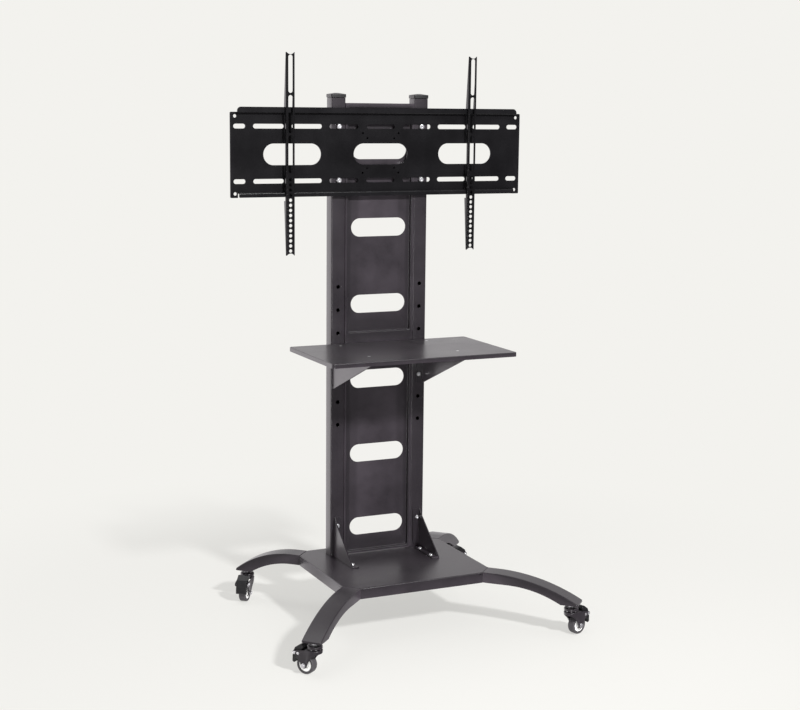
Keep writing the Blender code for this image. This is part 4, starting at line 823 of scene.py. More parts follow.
def grow(name, points, tree, values):
    """Run a geometry tree on some points with its named inputs, and keep the result as a piece."""
    data = bpy.data.meshes.new(name)
    data.from_pydata([tuple(point) for point in points], [], [])
    piece = bpy.data.objects.new(name, data)
    scene.collection.objects.link(piece)
    modifier = piece.modifiers.new(tree.name, "NODES")
    modifier.node_group = tree
    for item in tree.interface.items_tree:
        if item.in_out == "INPUT" and item.name in values:
            modifier[item.identifier] = values[item.name]
    settle(piece)
    piece.data.shade_smooth()
    piece.data.set_sharp_from_angle(angle=math.radians(35))
    return piece


ball_tree, given, result = geometry_tree("ring of bearing balls", (
    ("Count", "NodeSocketInt"), ("Ring Radius", "NodeSocketFloat"), ("Ball Radius", "NodeSocketFloat"),
    ("Wire Radius", "NodeSocketFloat"), ("Height", "NodeSocketFloat"), ("Material", "NodeSocketMaterial")))
ring = ball_tree.nodes.new("GeometryNodeMeshCircle")
ball = ball_tree.nodes.new("GeometryNodeMeshUVSphere")
ball.inputs["Segments"].default_value = 24
ball.inputs["Rings"].default_value = 12
spots = ball_tree.nodes.new("GeometryNodeInstanceOnPoints")
wire_path = ball_tree.nodes.new("GeometryNodeCurvePrimitiveCircle")
wire_path.inputs["Resolution"].default_value = 64
wire_section = ball_tree.nodes.new("GeometryNodeCurvePrimitiveCircle")
wire_section.inputs["Resolution"].default_value = 8
wire = ball_tree.nodes.new("GeometryNodeCurveToMesh")
together = ball_tree.nodes.new("GeometryNodeJoinGeometry")
lift = ball_tree.nodes.new("ShaderNodeCombineXYZ")
raised = ball_tree.nodes.new("GeometryNodeTransform")
for source, target in (
        (given.outputs["Count"], ring.inputs["Vertices"]),
        (given.outputs["Ring Radius"], ring.inputs["Radius"]),
        (given.outputs["Ball Radius"], ball.inputs["Radius"]), (ring.outputs["Mesh"], spots.inputs["Points"]),
        (ball.outputs["Mesh"], spots.inputs["Instance"]),
        (given.outputs["Ring Radius"], wire_path.inputs["Radius"]),
        (given.outputs["Wire Radius"], wire_section.inputs["Radius"]),
        (wire_path.outputs["Curve"], wire.inputs["Curve"]),
        (wire_section.outputs["Curve"], wire.inputs["Profile Curve"]),
        (spots.outputs["Instances"], together.inputs["Geometry"]),
        (wire.outputs["Mesh"], together.inputs["Geometry"]),
        (given.outputs["Height"], lift.inputs["Z"]), (lift.outputs["Vector"], raised.inputs["Translation"]),
        (together.outputs["Geometry"], raised.inputs["Geometry"])):
    ball_tree.links.new(source, target)
finish_tree(ball_tree, given, raised.outputs["Geometry"], result)

zinc_group, given, result = shader_group(
    "zinc surface",
    (("Colour", "NodeSocketColor"), ("Roughness", "NodeSocketFloat"), ("Turning", "NodeSocketFloat")),
    (("Colour", "NodeSocketColor"), ("Roughness", "NodeSocketFloat"), ("Normal", "NodeSocketVector")))
cloud = noise(zinc_group, 160.0, 3.0)
scratch = noise(zinc_group, 2600.0, 2.0)
darker = zinc_group.nodes.new("ShaderNodeMix")
darker.data_type = "RGBA"
darker.blend_type = "MULTIPLY"
zinc_group.links.new(spread(zinc_group, cloud, 0.3, 0.7, 0.0, 0.45), darker.inputs["Factor"])
zinc_group.links.new(given.outputs["Colour"], darker.inputs[6])
darker.inputs[7].default_value = (*DULL_ZINC, 1.0)
zinc_group.links.new(darker.outputs[2], result.inputs["Colour"])
sheen = arithmetic(zinc_group, "ADD", given.outputs["Roughness"],
                   spread(zinc_group, scratch, 0.3, 0.7, -0.06, 0.08))
zinc_group.links.new(sheen, result.inputs["Roughness"])
zinc_group.links.new(relief(zinc_group, scratch, given.outputs["Turning"], 0.00005), result.inputs["Normal"])

bright_zinc = surfaced("bright_zinc", zinc_group, {"Colour": ZINC_COLOUR, "Roughness": 0.36, "Turning": 0.25})
bright_zinc.node_tree.nodes["Principled BSDF"].inputs["Metallic"].default_value = 1.0


def rivet_shape(name, spot):
    """Domed rivet through both plates of the fork at a spot of its side view."""
    reach = fork_half_width(spot.y + RIVET_RADIUS) + SEAM - FOLD_DEPTH
    dome = []
    for angle in (0, 20, 40, 60, 80):
        turn = math.radians(angle)
        dome.append((RIVET_RADIUS * math.cos(turn), reach + RIVET_HEIGHT * math.sin(turn)))
    half = [(0.002, 0.0), (0.002, reach), (RIVET_RADIUS, reach), *dome]
    profile = [(radius, -along) for radius, along in half[::-1]] + half[1:]
    rivet = turned(name, profile, 32, "XZ")
    rivet.data.transform(Matrix.Translation((spot.x, 0.0, spot.y)))
    return soften(rivet)


def set_down(shape, corner, name, finish, body, slot_name, *cad_nodes):
    """Copy a caster's shape to a corner of the stand, at its resting heading."""
    twin = bpy.data.objects.new(name + "_" + corner, shape.data.copy())
    scene.collection.objects.link(twin)
    twin.data.transform(Matrix.Translation(stem_spots[corner])
                        @ Matrix.Rotation(math.radians(CASTER_HEADINGS[corner]), 4, "Z"))
    return fit(twin, finish, body, slot_name, *cad_nodes)


fork, stem, cup = pressed_fork(), stem_shape(), cup_shape()
balls = grow("ball_ring", [(0.0, 0.0, 0.0)], ball_tree, {
    "Count": BALL_COUNT, "Ring Radius": KING_BOSS_RADIUS + BALL_RADIUS + SEAM, "Ball Radius": BALL_RADIUS,
    "Wire Radius": 0.0005, "Height": CROWN_TOP + SEAM + BALL_RADIUS, "Material": bright_zinc})
pivot_rivet = rivet_shape("pivot_rivet", BRAKE_PIVOT)
stop_rivet = rivet_shape("stop_rivet", FORK_EAR)
for corner in CASTER_HEADINGS:
    set_down(fork, corner, "fork", coated_steel, "swivel_" + corner, "frame_black", "caster_fork_" + corner)
    set_down(stem, corner, "stem", bright_zinc, stand_body, "zinc_bright", "caster_stem_" + corner)
    set_down(cup, corner, "cup", coated_steel, stand_body, "frame_black", "caster_cup_" + corner)
    set_down(balls, corner, "balls", bright_zinc, "swivel_" + corner, "zinc_bright",
             "caster_ball_cage_" + corner)
    set_down(pivot_rivet, corner, "pivot_rivet", bright_zinc, "swivel_" + corner, "zinc_bright",
             "caster_brake_pin_" + corner)
    set_down(stop_rivet, corner, "stop_rivet", bright_zinc, "swivel_" + corner, "zinc_bright")
for shape in (fork, stem, cup, balls, pivot_rivet, stop_rivet):
    bpy.data.objects.remove(shape)


# Caster wheels and axles
# A grey rubber tyre on a white moulded wheel with a broad rim, a thin web and six ribs, on a bright axle
# bolt whose head and nut grip the fork's plates over thin washers.
RIM_RADIUS = 0.0165
RIM_WIDTH = 0.0165
RIM_WALL = 0.0070
HUB_RADIUS = 0.006
WEB_THICKNESS = 0.004
TYRE_WIDTH = 0.019
TYRE_SHOULDER = 0.0035
AXLE_RADIUS = 0.003
AXLE_HEAD_ACROSS = 0.010
AXLE_HEAD_HEIGHT = 0.004
AXLE_CHAMFER = 0.0004
AXLE_THREAD_START = 0.0035
WASHER_RADIUS = 0.0056
WASHER_THICKNESS = 0.0008
RIB_COUNT = 6
RIB_THICKNESS = 0.0013
RIB_INSET = 0.0060
RUBBER_COLOUR = (0.052, 0.048, 0.053)
NYLON_COLOUR = (0.94, 0.94, 0.93)

moulded_group, given, result = shader_group(
    "moulded surface", (("Colour", "NodeSocketColor"), ("Dust Colour", "NodeSocketColor"),
                        ("Roughness", "NodeSocketFloat"), ("Grain", "NodeSocketFloat")),
    (("Colour", "NodeSocketColor"), ("Roughness", "NodeSocketFloat"), ("Normal", "NodeSocketVector")))
cloud = noise(moulded_group, 70.0, 4.0, 0.6)
grain = noise(moulded_group, 2200.0, 2.0)
moulded_group.links.new(tint(moulded_group, spread(moulded_group, cloud, 0.4, 0.75, 0.0, 0.30),
                             given.outputs["Colour"], given.outputs["Dust Colour"]), result.inputs["Colour"])
sheen = arithmetic(moulded_group, "ADD", given.outputs["Roughness"],
                   spread(moulded_group, cloud, 0.3, 0.7, -0.05, 0.07))
moulded_group.links.new(sheen, result.inputs["Roughness"])
moulded_group.links.new(relief(moulded_group, grain, given.outputs["Grain"], 0.0002), result.inputs["Normal"])


def moulded(name, colour, dust_colour, roughness, grain_strength):
    """Moulded rubber or plastic with a fine grain and a little dust."""
    return surfaced(name, moulded_group, {
        "Colour": colour, "Dust Colour": dust_colour, "Roughness": roughness, "Grain": grain_strength})


grey_rubber = moulded("grey_rubber", RUBBER_COLOUR, (0.095, 0.09, 0.093), 0.60, 0.3)
white_nylon = moulded("white_nylon", NYLON_COLOUR, (0.86, 0.85, 0.83), 0.34, 0.1)


def tyre_shape():
    """Tyre with rounded shoulders and a fine groove beside each."""
    half, bore = TYRE_WIDTH / 2, RIM_RADIUS + SEAM
    shoulder = [(WHEEL_RADIUS - TYRE_SHOULDER * 0.5 * (1 - math.cos(math.radians(angle))),
                 half - TYRE_SHOULDER * (1 - math.sin(math.radians(angle)))) for angle in range(0, 91, 15)]
    side = [(bore, 0.0), (WHEEL_RADIUS, 0.0), (WHEEL_RADIUS, half - TYRE_SHOULDER - 0.0004), *shoulder,
            (RIM_RADIUS + 0.0016, half), (RIM_RADIUS + 0.0013, half - 0.0004), (bore, half - 0.0004)]
    profile = [(radius, -along) for radius, along in side[:0:-1]] + side[1:]
    return soften(turned("tyre_moulded", profile, 96, "XZ", True), 0.0, 28)


def wheel_shape():
    """Wheel body with its hub, thin web and broad rounded rim."""
    reach = fork_half_width(AXLE.y - HUB_RADIUS) - FORK_SHEET - SEAM - FOLD_DEPTH
    web, edge, wall = WEB_THICKNESS / 2, RIM_WIDTH / 2, RIM_RADIUS - RIM_WALL
    half = [(AXLE_RADIUS + SEAM, reach), (HUB_RADIUS - 0.0005, reach), (HUB_RADIUS, reach - 0.0005),
            (HUB_RADIUS + 0.0006, web + 0.0012), (HUB_RADIUS + 0.0014, web), (wall - 0.0010, web),
            (wall - 0.0003, web + 0.0009), (wall, edge - 0.0006), (wall + 0.0006, edge),
            (RIM_RADIUS - 0.0003, edge), (RIM_RADIUS, edge - 0.0003)]
    profile = [(radius, -along) for radius, along in half] + half[::-1]
    return soften(turned("wheel_moulded", profile, 96, "XZ", True), 0.0, 28)


rib_tree, given, result = geometry_tree("ribs about an axle", (
    ("Count", "NodeSocketInt"), ("Middle Radius", "NodeSocketFloat"), ("Size", "NodeSocketVector"),
    ("Material", "NodeSocketMaterial")))
ring = rib_tree.nodes.new("GeometryNodeMeshCircle")
rib = rib_tree.nodes.new("GeometryNodeMeshCube")
spots = rib_tree.nodes.new("GeometryNodeInstanceOnPoints")
outwards = rib_tree.nodes.new("GeometryNodeInputPosition")
facing = rib_tree.nodes.new("FunctionNodeAlignRotationToVector")
facing.axis = "X"
upright_ring = rib_tree.nodes.new("GeometryNodeTransform")
upright_ring.inputs["Rotation"].default_value = (math.pi / 2, 0.0, 0.0)
for source, target in (
        (given.outputs["Count"], ring.inputs["Vertices"]),
        (given.outputs["Middle Radius"], ring.inputs["Radius"]),
        (given.outputs["Size"], rib.inputs["Size"]), (ring.outputs["Mesh"], spots.inputs["Points"]),
        (rib.outputs["Mesh"], spots.inputs["Instance"]),
        (outwards.outputs["Position"], facing.inputs["Vector"]),
        (facing.outputs["Rotation"], spots.inputs["Rotation"]),
        (spots.outputs["Instances"], upright_ring.inputs["Geometry"])):
    rib_tree.links.new(source, target)
finish_tree(rib_tree, given, upright_ring.outputs["Geometry"], result)


def axle_shape():
    """Axle bolt with a hexagon head, a nut and a washer under each, about its own axis."""
    reach = fork_half_width(AXLE.y + AXLE_HEAD_ACROSS / 2) + 0.0006 - FOLD_DEPTH
    end, washer = AXLE_RADIUS - AXLE_CHAMFER, WASHER_THICKNESS
    profile = [(end, -reach - AXLE_HEAD_HEIGHT), (AXLE_RADIUS, -reach - AXLE_THREAD_START),
               (AXLE_RADIUS, reach + AXLE_THREAD_START), (end, reach + AXLE_HEAD_HEIGHT)]
    axle = turned("axle_turned", profile, 48, "XZ")
    head_end, nut_end = -reach - AXLE_HEAD_HEIGHT + AXLE_CHAMFER, reach + 0.0034
    for low, high in ((head_end, -reach - washer), (reach + washer, nut_end)):
        combine(axle, rounded_hexagon("head", AXLE_HEAD_ACROSS, low, high, "XZ"), "UNION")
    for low, high in ((-reach - washer, -reach + 0.0001), (reach - 0.0001, reach + washer)):
        faces = [(WASHER_RADIUS, low - 0.00005), (WASHER_RADIUS, high + 0.00005)]
        combine(axle, turned("washer", faces, 48, "XZ"), "UNION")
    return soften(axle, 0.0, 30)


tyre, wheel, axle = tyre_shape(), wheel_shape(), axle_shape()
rib_middle = (HUB_RADIUS + RIM_RADIUS - RIM_WALL) / 2
ribs = grow("wheel_ribs", [(0.0, 0.0, 0.0)], rib_tree, {
    "Count": RIB_COUNT, "Middle Radius": rib_middle, "Material": white_nylon,
    "Size": (2 * (rib_middle - HUB_RADIUS) + 0.0008, RIB_THICKNESS, RIM_WIDTH - RIB_INSET)})
for shape in (tyre, wheel, axle, ribs):
    shape.data.transform(Matrix.Translation((AXLE.x, 0.0, AXLE.y)))
for corner in CASTER_HEADINGS:
    set_down(tyre, corner, "tyre", grey_rubber, "wheel_" + corner, "rubber_grey", "caster_tyre_" + corner)
    set_down(wheel, corner, "wheel", white_nylon, "wheel_" + corner, "plastic_white", "caster_rim_" + corner)
    set_down(ribs, corner, "wheel_ribs", white_nylon, "wheel_" + corner, "plastic_white")
    set_down(axle, corner, "axle", bright_zinc, "swivel_" + corner, "zinc_bright", "caster_axle_" + corner)
for shape in (tyre, wheel, axle, ribs):
    bpy.data.objects.remove(shape)


# Brake pedals
# Black glass-filled plastic, moulded as one piece: a release tab on top, a hub on the pivot
# rivet and a pointed fender whose hollow side faces the tread.
PEDAL_WIDTH = 0.028
HEEL_CLEARANCE = 0.004
PEDAL_BORE = 0.0024
PEDAL_BACK = ((0.0180, -0.0230, 0.002), (0.0175, -0.0090, 0.010), (0.0150, 0.0030, 0.008),
              (0.0110, 0.0120, 0.004), (-0.0030, 0.0220, 0.003), (-0.0070, 0.0220, 0.003),
              (-0.0132, 0.0165, 0.001), (-0.0110, 0.0135, 0.001), (-0.0050, 0.0085), (-0.0052, 0.0))
PEDAL_COLOUR = (0.006, 0.006, 0.0068)
PEDAL_PANEL_DEPTH = 0.0012

black_plastic = moulded("black_plastic", PEDAL_COLOUR, (0.018, 0.0175, 0.018), 0.40, 0.35)
heel = [polar(AXLE - BRAKE_PIVOT, WHEEL_RADIUS + HEEL_CLEARANCE, math.radians(66 - 60 * step / 12))
        for step in range(13)]
pedal_outline = fillet([*PEDAL_BACK, *[tuple(point) for point in heel]], 8)
pedal = prisms("pedal_moulded", [pedal_outline], -PEDAL_WIDTH / 2, PEDAL_WIDTH / 2, "XZ")
combine(pedal, prisms("pivot", [circle(PEDAL_BORE, 32)], -PEDAL_WIDTH, PEDAL_WIDTH, "XZ"))
panel_outline = fillet([(0.0152, -0.0150, 0.001), (0.0152, -0.0080, 0.008), (0.0128, 0.0020, 0.006),
                        (0.0090, 0.0090, 0.002), (0.0050, 0.0110, 0.0012), (0.0070, 0.0010, 0.004),
                        (0.0110, -0.0070, 0.004)], 6)
for side in (-1, 1):
    face = side * PEDAL_WIDTH / 2
    combine(pedal, prisms("panel", [panel_outline], face - PEDAL_PANEL_DEPTH, face + PEDAL_PANEL_DEPTH, "XZ"))
soften(pedal, 0.0007, 30, 3)
pedal.data.transform(Matrix.Translation((BRAKE_PIVOT.x, 0.0, BRAKE_PIVOT.y)))
for corner in CASTER_HEADINGS:
    set_down(pedal, corner, "pedal", black_plastic, "brake_" + corner, "plastic_black",
             "caster_brake_pedal_" + corner)
bpy.data.objects.remove(pedal)


# Column tubes
# Two welded rectangular tubes of 2 mm wall with round corners and a row of 10 mm holes in the front for
# the shelf and the plate, powder coated inside their mouths as well.
TUBE_WIDTH = 0.038
TUBE_DEPTH = 0.035
TUBE_WALL = 0.002
TUBE_CORNER = 0.003
TUBE_LINE = 0.115
TUBE_HOLE_RADIUS = 0.005
HOLE_RISES = (0.352, 0.412, 0.472, 0.532, 0.592, 0.652, 0.712, 0.082)
PLATE_BOLT_HEIGHTS = (1.262, 1.127)
column_spot = Matrix.Translation((0.0, column_front, 0.0))
tube_low, tube_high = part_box("upright_left")[0].z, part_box("upright_left")[1].z

for side_name, sign in (("left", -1), ("right", 1)):
    outer = rectangle(TUBE_WIDTH, TUBE_DEPTH, TUBE_CORNER, (sign * TUBE_LINE, TUBE_DEPTH / 2), 6)
    inner = inset(outer, TUBE_WALL)
    tube = loft("upright_coated_" + side_name,
                [(outer, tube_low), (outer, tube_high), (inner, tube_high), (inner, tube_low)], closed=True)
    heights = [base_top + rise for rise in HOLE_RISES] + list(PLATE_BOLT_HEIGHTS)
    holes = [circle(TUBE_HOLE_RADIUS, 32, (sign * TUBE_LINE, height)) for height in heights]
    combine(tube, prisms("holes", holes, -TUBE_WALL, 2 * TUBE_WALL, "XZ"))
    soften(tube, 0.0004)
    tube.data.transform(column_spot)
    fit(tube, coated_steel, stand_body, "frame_black", "upright_" + side_name)


# Tube caps
# Black moulded plugs pushed into the tubes' mouths, with a rim that stands over the tube and a low
# pyramid on top.
CAP_OVERHANG = 0.0015
CAP_RIM = 0.009
CAP_PEAK = 0.003
CAP_PLUG_DEPTH = 0.015
CAP_BROW_INSET = 0.003
CAP_RIM_ROUND = 0.0004

for side_name, sign in (("left", -1), ("right", 1)):
    centre = (sign * TUBE_LINE, TUBE_DEPTH / 2)
    tube = rectangle(TUBE_WIDTH, TUBE_DEPTH, TUBE_CORNER, centre, 5)
    plug, rim = inset(tube, TUBE_WALL + SEAM), inset(tube, -CAP_OVERHANG)
    brow = rectangle(TUBE_WIDTH + 2 * CAP_OVERHANG - CAP_BROW_INSET,
                     TUBE_DEPTH + 2 * CAP_OVERHANG - CAP_BROW_INSET, 0.003, centre, 5)
    peak = rectangle(0.2 * TUBE_WIDTH, 0.2 * TUBE_DEPTH, TUBE_CORNER / 2, centre, 5)
    seat = tube_high + SEAM
    cap = loft("cap_moulded_" + side_name, [
        (plug, seat - CAP_PLUG_DEPTH), (plug, seat), (tube, seat), (rim, seat + CAP_OVERHANG),
        (rim, seat + CAP_RIM - CAP_RIM_ROUND), (inset(rim, CAP_RIM_ROUND), seat + CAP_RIM),
        (brow, seat + CAP_RIM + 0.0003), (peak, seat + CAP_RIM + CAP_PEAK)])
    soften(cap, 0.0005, 25, 3)
    cap.data.transform(column_spot)
    fit(cap, black_plastic, stand_body, "plastic_black", "upright_cap_" + side_name)


# Column panels
# Two pressed sheets of 1.5 mm steel between the tubes: a flush border, folded back along its edges, round
# a field pressed 8 mm back over rounded edges, with three oval cable slots punched through each.
PANEL_SHEET = 0.0015
PANEL_RECESS = 0.008
PANEL_SIDE_RIM = 0.0075
PANEL_CORNER = 0.006
PANEL_PRESS_EDGE = 0.0018
PANEL_RETURN = 0.0085
PANEL_BANDS = {"lower": (0.007, 0.010), "upper": (0.036, 0.012)}
CABLE_SLOT_WIDTH = 0.153
CABLE_SLOT_HEIGHT = 0.047
CABLE_SLOT_HEIGHTS = {"lower": (0.2167, 0.4140, 0.6113), "upper": (0.8086, 1.0059, 1.2032)}


def slot(left, right, height, level, steps=16):
    """Outline with round ends between two limits, centred on a level."""
    radius = height / 2
    ends = ((right - radius, -math.pi / 2), (left + radius, math.pi / 2))
    return [polar((middle, level), radius, start + math.pi * step / steps)
            for middle, start in ends for step in range(steps + 1)]


def pressed_panel(name, low, high, foot_band, top_band, slot_heights):
    """Bordered panel with its field pressed back over rounded edges."""
    half = TUBE_LINE - TUBE_WIDTH / 2 - SEAM
    border = rectangle(2 * half, high - low, 0.0008, (0.0, (low + high) / 2), 6)
    height = high - low - foot_band - top_band
    middle = (0.0, low + foot_band + height / 2)
    recess = rectangle(2 * (half - PANEL_SIDE_RIM), height, PANEL_CORNER, middle, 6)
    edge, deep = PANEL_PRESS_EDGE, PANEL_RECESS
    turns = [math.radians(15 * step) for step in range(7)]
    levels = [(inset(recess, edge), deep)]
    levels += [(inset(recess, edge * (1 - math.sin(turn))), deep - edge * (1 - math.cos(turn)))
               for turn in turns[1:]]
    levels += [(inset(recess, -edge * (1 - math.cos(turn))), edge * (1 - math.sin(turn)))
               for turn in turns]
    levels += [(border, 0.0), (border, PANEL_RETURN), (inset(border, PANEL_SHEET), PANEL_RETURN),
               (inset(border, PANEL_SHEET), PANEL_SHEET), (inset(recess, -PANEL_SHEET), PANEL_SHEET),
               (inset(recess, -PANEL_SHEET), deep), (recess, deep + PANEL_SHEET)]
    panel = loft(name, levels, "XZ")
    reach = CABLE_SLOT_WIDTH / 2
    slots = [slot(-reach, reach, CABLE_SLOT_HEIGHT, level) for level in slot_heights]
    combine(panel, prisms("slots", slots, PANEL_RECESS / 2, 2 * PANEL_RECESS, "XZ"))
    soften(panel)
    panel.data.transform(column_spot)
    return panel


for name, bands in PANEL_BANDS.items():
    low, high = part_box("column_panel_" + name)
    panel = pressed_panel("panel_coated_" + name, low.z, high.z, *bands, CABLE_SLOT_HEIGHTS[name])
    fit(panel, coated_steel, stand_body, "frame_black", "column_panel_" + name)


# Foot gussets
# Folded 3 mm sheet steel on each side of the column's foot: a tapering web with a flange bolted to the
# tube and another to the base plate, by bright button heads with nuts under the plate.
GUSSET_SHEET = 0.003
GUSSET_LINE = 0.1245
GUSSET_LENGTH = 0.121
GUSSET_TOE = 0.004
GUSSET_HEIGHT = 0.106
FLANGE_WIDTH = 0.021
GUSSET_RELIEF = 0.010
FLANGE_CORNER = 0.004
GUSSET_BOLT_RISE = 0.082
GUSSET_BOLT_DEPTHS = (0.030, 0.096)
SMALL_HEAD_RADIUS = 0.0058
SMALL_HEAD_HEIGHT = 0.0031


def flange_outline(sign, line, width, low, high, corner):
    """Outline of a flange that runs inwards from a web on one side of the stand."""
    outer, inner = sign * line, sign * (line - width)
    return fillet([(outer, low), (inner, low, corner), (inner, high, corner), (outer, high)], 6)


def button_head(name, radius, height, across, depth, crown_share=0.62):
    """Domed bolt head with a hexagon socket, standing on its seat."""
    sides, brim = 48, 0.12 * height
    last = math.acos(crown_share)
    levels = [(circle(radius, sides), 0.0)]
    for step in range(7):
        angle = last * step / 6
        rise = brim + (height - brim) * math.sin(angle) / math.sin(last)
        levels.append((circle(radius * math.cos(angle), sides), rise))
    levels += [(hexagon(across * 1.06, sides), height), (hexagon(across, sides), height - 0.0003),
               (hexagon(across, sides), height - depth)]
    return soften(loft(name, levels), 0.0, 35)


fastener_tree, given, result = geometry_tree("fasteners on points", (
    ("Head", "NodeSocketObject"), ("Turn", "NodeSocketVector"), ("Material", "NodeSocketMaterial")))
spots = fastener_tree.nodes.new("GeometryNodeMeshToPoints")
pattern = fastener_tree.nodes.new("GeometryNodeObjectInfo")
turn = fastener_tree.nodes.new("FunctionNodeEulerToRotation")
instances = fastener_tree.nodes.new("GeometryNodeInstanceOnPoints")
for source, target in (
        (given.outputs["Geometry"], spots.inputs["Mesh"]), (given.outputs["Head"], pattern.inputs["Object"]),
        (given.outputs["Turn"], turn.inputs["Euler"]),
        (turn.outputs["Rotation"], instances.inputs["Rotation"]),
        (spots.outputs["Points"], instances.inputs["Points"]),
        (pattern.outputs["Geometry"], instances.inputs["Instance"])):
    fastener_tree.links.new(source, target)
finish_tree(fastener_tree, given, instances.outputs["Instances"], result)
FACING_FORWARD = (math.pi / 2, 0.0, 0.0)
FACING_UP = (0.0, 0.0, 0.0)
FACING_DOWN = (math.pi, 0.0, 0.0)


def fasten(name, head, points, turn):
    """Set a head on points of the stand, which count from the column's front."""
    points = [Vector(point) + Vector((0.0, column_front, 0.0)) for point in points]
    return fit(grow(name, points, fastener_tree, {"Head": head, "Turn": turn, "Material": bright_zinc}),
               bright_zinc, stand_body, "zinc_bright")


for side_name, sign in (("left", -1), ("right", 1)):
    floor_level, wall, top = base_top + SEAM, -SEAM, base_top + GUSSET_HEIGHT
    web = fillet([(wall, floor_level), (-GUSSET_LENGTH, floor_level),
                  (-GUSSET_LENGTH, floor_level + GUSSET_TOE, 0.0015),
                  (wall - GUSSET_SHEET - 0.010, top - 0.014, 0.012), (wall - GUSSET_SHEET, top),
                  (wall, top)], 12)
    sides = sorted((sign * GUSSET_LINE, sign * (GUSSET_LINE - GUSSET_SHEET)))
    gusset = prisms("gusset_coated_" + side_name, [web], *sides, "YZ")
    on_tube = flange_outline(sign, GUSSET_LINE, FLANGE_WIDTH, floor_level + GUSSET_RELIEF, top, FLANGE_CORNER)
    combine(gusset, prisms("on_tube", [on_tube], wall - GUSSET_SHEET, wall, "XZ"), "UNION")
    on_base = flange_outline(sign, GUSSET_LINE, FLANGE_WIDTH, -GUSSET_LENGTH, wall - GUSSET_RELIEF,
                             FLANGE_CORNER)
    combine(gusset, prisms("on_base", [on_base], floor_level, floor_level + GUSSET_SHEET), "UNION")
    soften(gusset, 0.0008, 32, 3)
    gusset.data.transform(column_spot)
    fit(gusset, coated_steel, stand_body, "frame_black", "foot_gusset_" + side_name)

small_head = button_head("small_head", SMALL_HEAD_RADIUS, SMALL_HEAD_HEIGHT, 0.004, 0.0022)
small_nut = rounded_hexagon("small_nut", 0.010, 0.0, 0.005)
combine(small_nut, turned("washer", [(0.006, -0.0002), (0.006, 0.0009)], 48), "UNION")
combine(small_nut, turned("thread", [(0.003, 0.001), (0.003, 0.0064), (0.0025, 0.0069)], 32), "UNION")
soften(small_nut, 0.0, 30)
bolt_line = GUSSET_LINE - GUSSET_SHEET / 2 - FLANGE_WIDTH / 2
on_flange = [(sign * bolt_line, -depth, base_top + SEAM + GUSSET_SHEET)
             for sign in (-1, 1) for depth in GUSSET_BOLT_DEPTHS]
fasten("gusset_base_bolts", small_head, on_flange, FACING_UP)
fasten("gusset_base_nuts", small_nut, [(x, y, base_top - BASE_SHEET) for x, y, z in on_flange], FACING_DOWN)
on_tubes = [(sign * TUBE_LINE, -SEAM - GUSSET_SHEET, base_top + GUSSET_BOLT_RISE) for sign in (-1, 1)]
fasten("gusset_tube_bolts", small_head, on_tubes, FACING_FORWARD)


# Shelf
# Tray of 2 mm sheet steel with its rim folded down all round, its front corners left open where the
# folds meet, and four countersunk screws into the brackets.
SHELF_SHEET = 0.002
SHELF_CORNER = 0.008
SHELF_BEND = 0.0020
SHELF_SPLIT = 0.0005
SHELF_SCREW_LINE = 0.1215
SHELF_SCREW_DEPTHS = (0.034, 0.213)
SCREW_HEAD_RADIUS = 0.00425
SCREW_HOLE_RADIUS = 0.0027
SCREW_HEAD_GAP = 0.0004
SCREW_HEAD_DROP = 0.00045

low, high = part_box("shelf")
centre = ((low.x + high.x) / 2, (low.y + high.y) / 2)
outline = rectangle(high.x - low.x, high.y - low.y, SHELF_CORNER, centre, 8)
shelf = folded_tray("shelf_coated", outline, high.z, low.z, SHELF_SHEET, SHELF_BEND)
shelf_top, shelf_lip = high.z, high.z - low.z
sinks = bmesh.new()
screw_spots = [(sign * SHELF_SCREW_LINE, column_front - depth)
               for sign in (-1, 1) for depth in SHELF_SCREW_DEPTHS]
sink_radius = SCREW_HEAD_RADIUS + SCREW_HEAD_GAP
sink_profile = (
    (SCREW_HOLE_RADIUS, -0.004), (SCREW_HOLE_RADIUS, -0.002), (sink_radius, 0.0), (sink_radius, 0.002))
for spot in screw_spots:
    skin(sinks, [[(*point, shelf_top + level) for point in circle(radius, 40, spot)]
                 for radius, level in sink_profile])
combine(shelf, add_piece("sinks", sinks))
splits = []
for sign in (-1, 1):
    split_spot = (sign * (high.x - SHELF_CORNER * 0.62), low.y - 0.004)
    splits.append(rectangle(SHELF_SPLIT, 0.0095, 0.0, split_spot))
combine(shelf, prisms("splits", splits, low.z - 0.002, high.z - 0.0028))
soften(shelf)
fit(shelf, coated_steel, stand_body, "frame_black", "shelf")

screw_head = button_head("screw_head", SCREW_HEAD_RADIUS, 0.00035, 0.0025, 0.0014, 0.94)
in_sinks = [(x, y - column_front, shelf_top - SCREW_HEAD_DROP) for x, y in screw_spots]
fasten("shelf_screws", screw_head, in_sinks, FACING_UP)


# Shelf brackets
# Folded 3 mm sheet steel under each side of the shelf: a tapering web with one flange bolted to the
# tube and one screwed to the shelf.
BRACKET_SHEET = 0.003
BRACKET_LINE = 0.1295
BRACKET_LENGTH = 0.255
BRACKET_FOOT_DROP = 0.024
BRACKET_NOSE = 0.012
SHELF_BOLT_HEIGHT = 0.616
SHELF_REAR_GAP = 0.0008

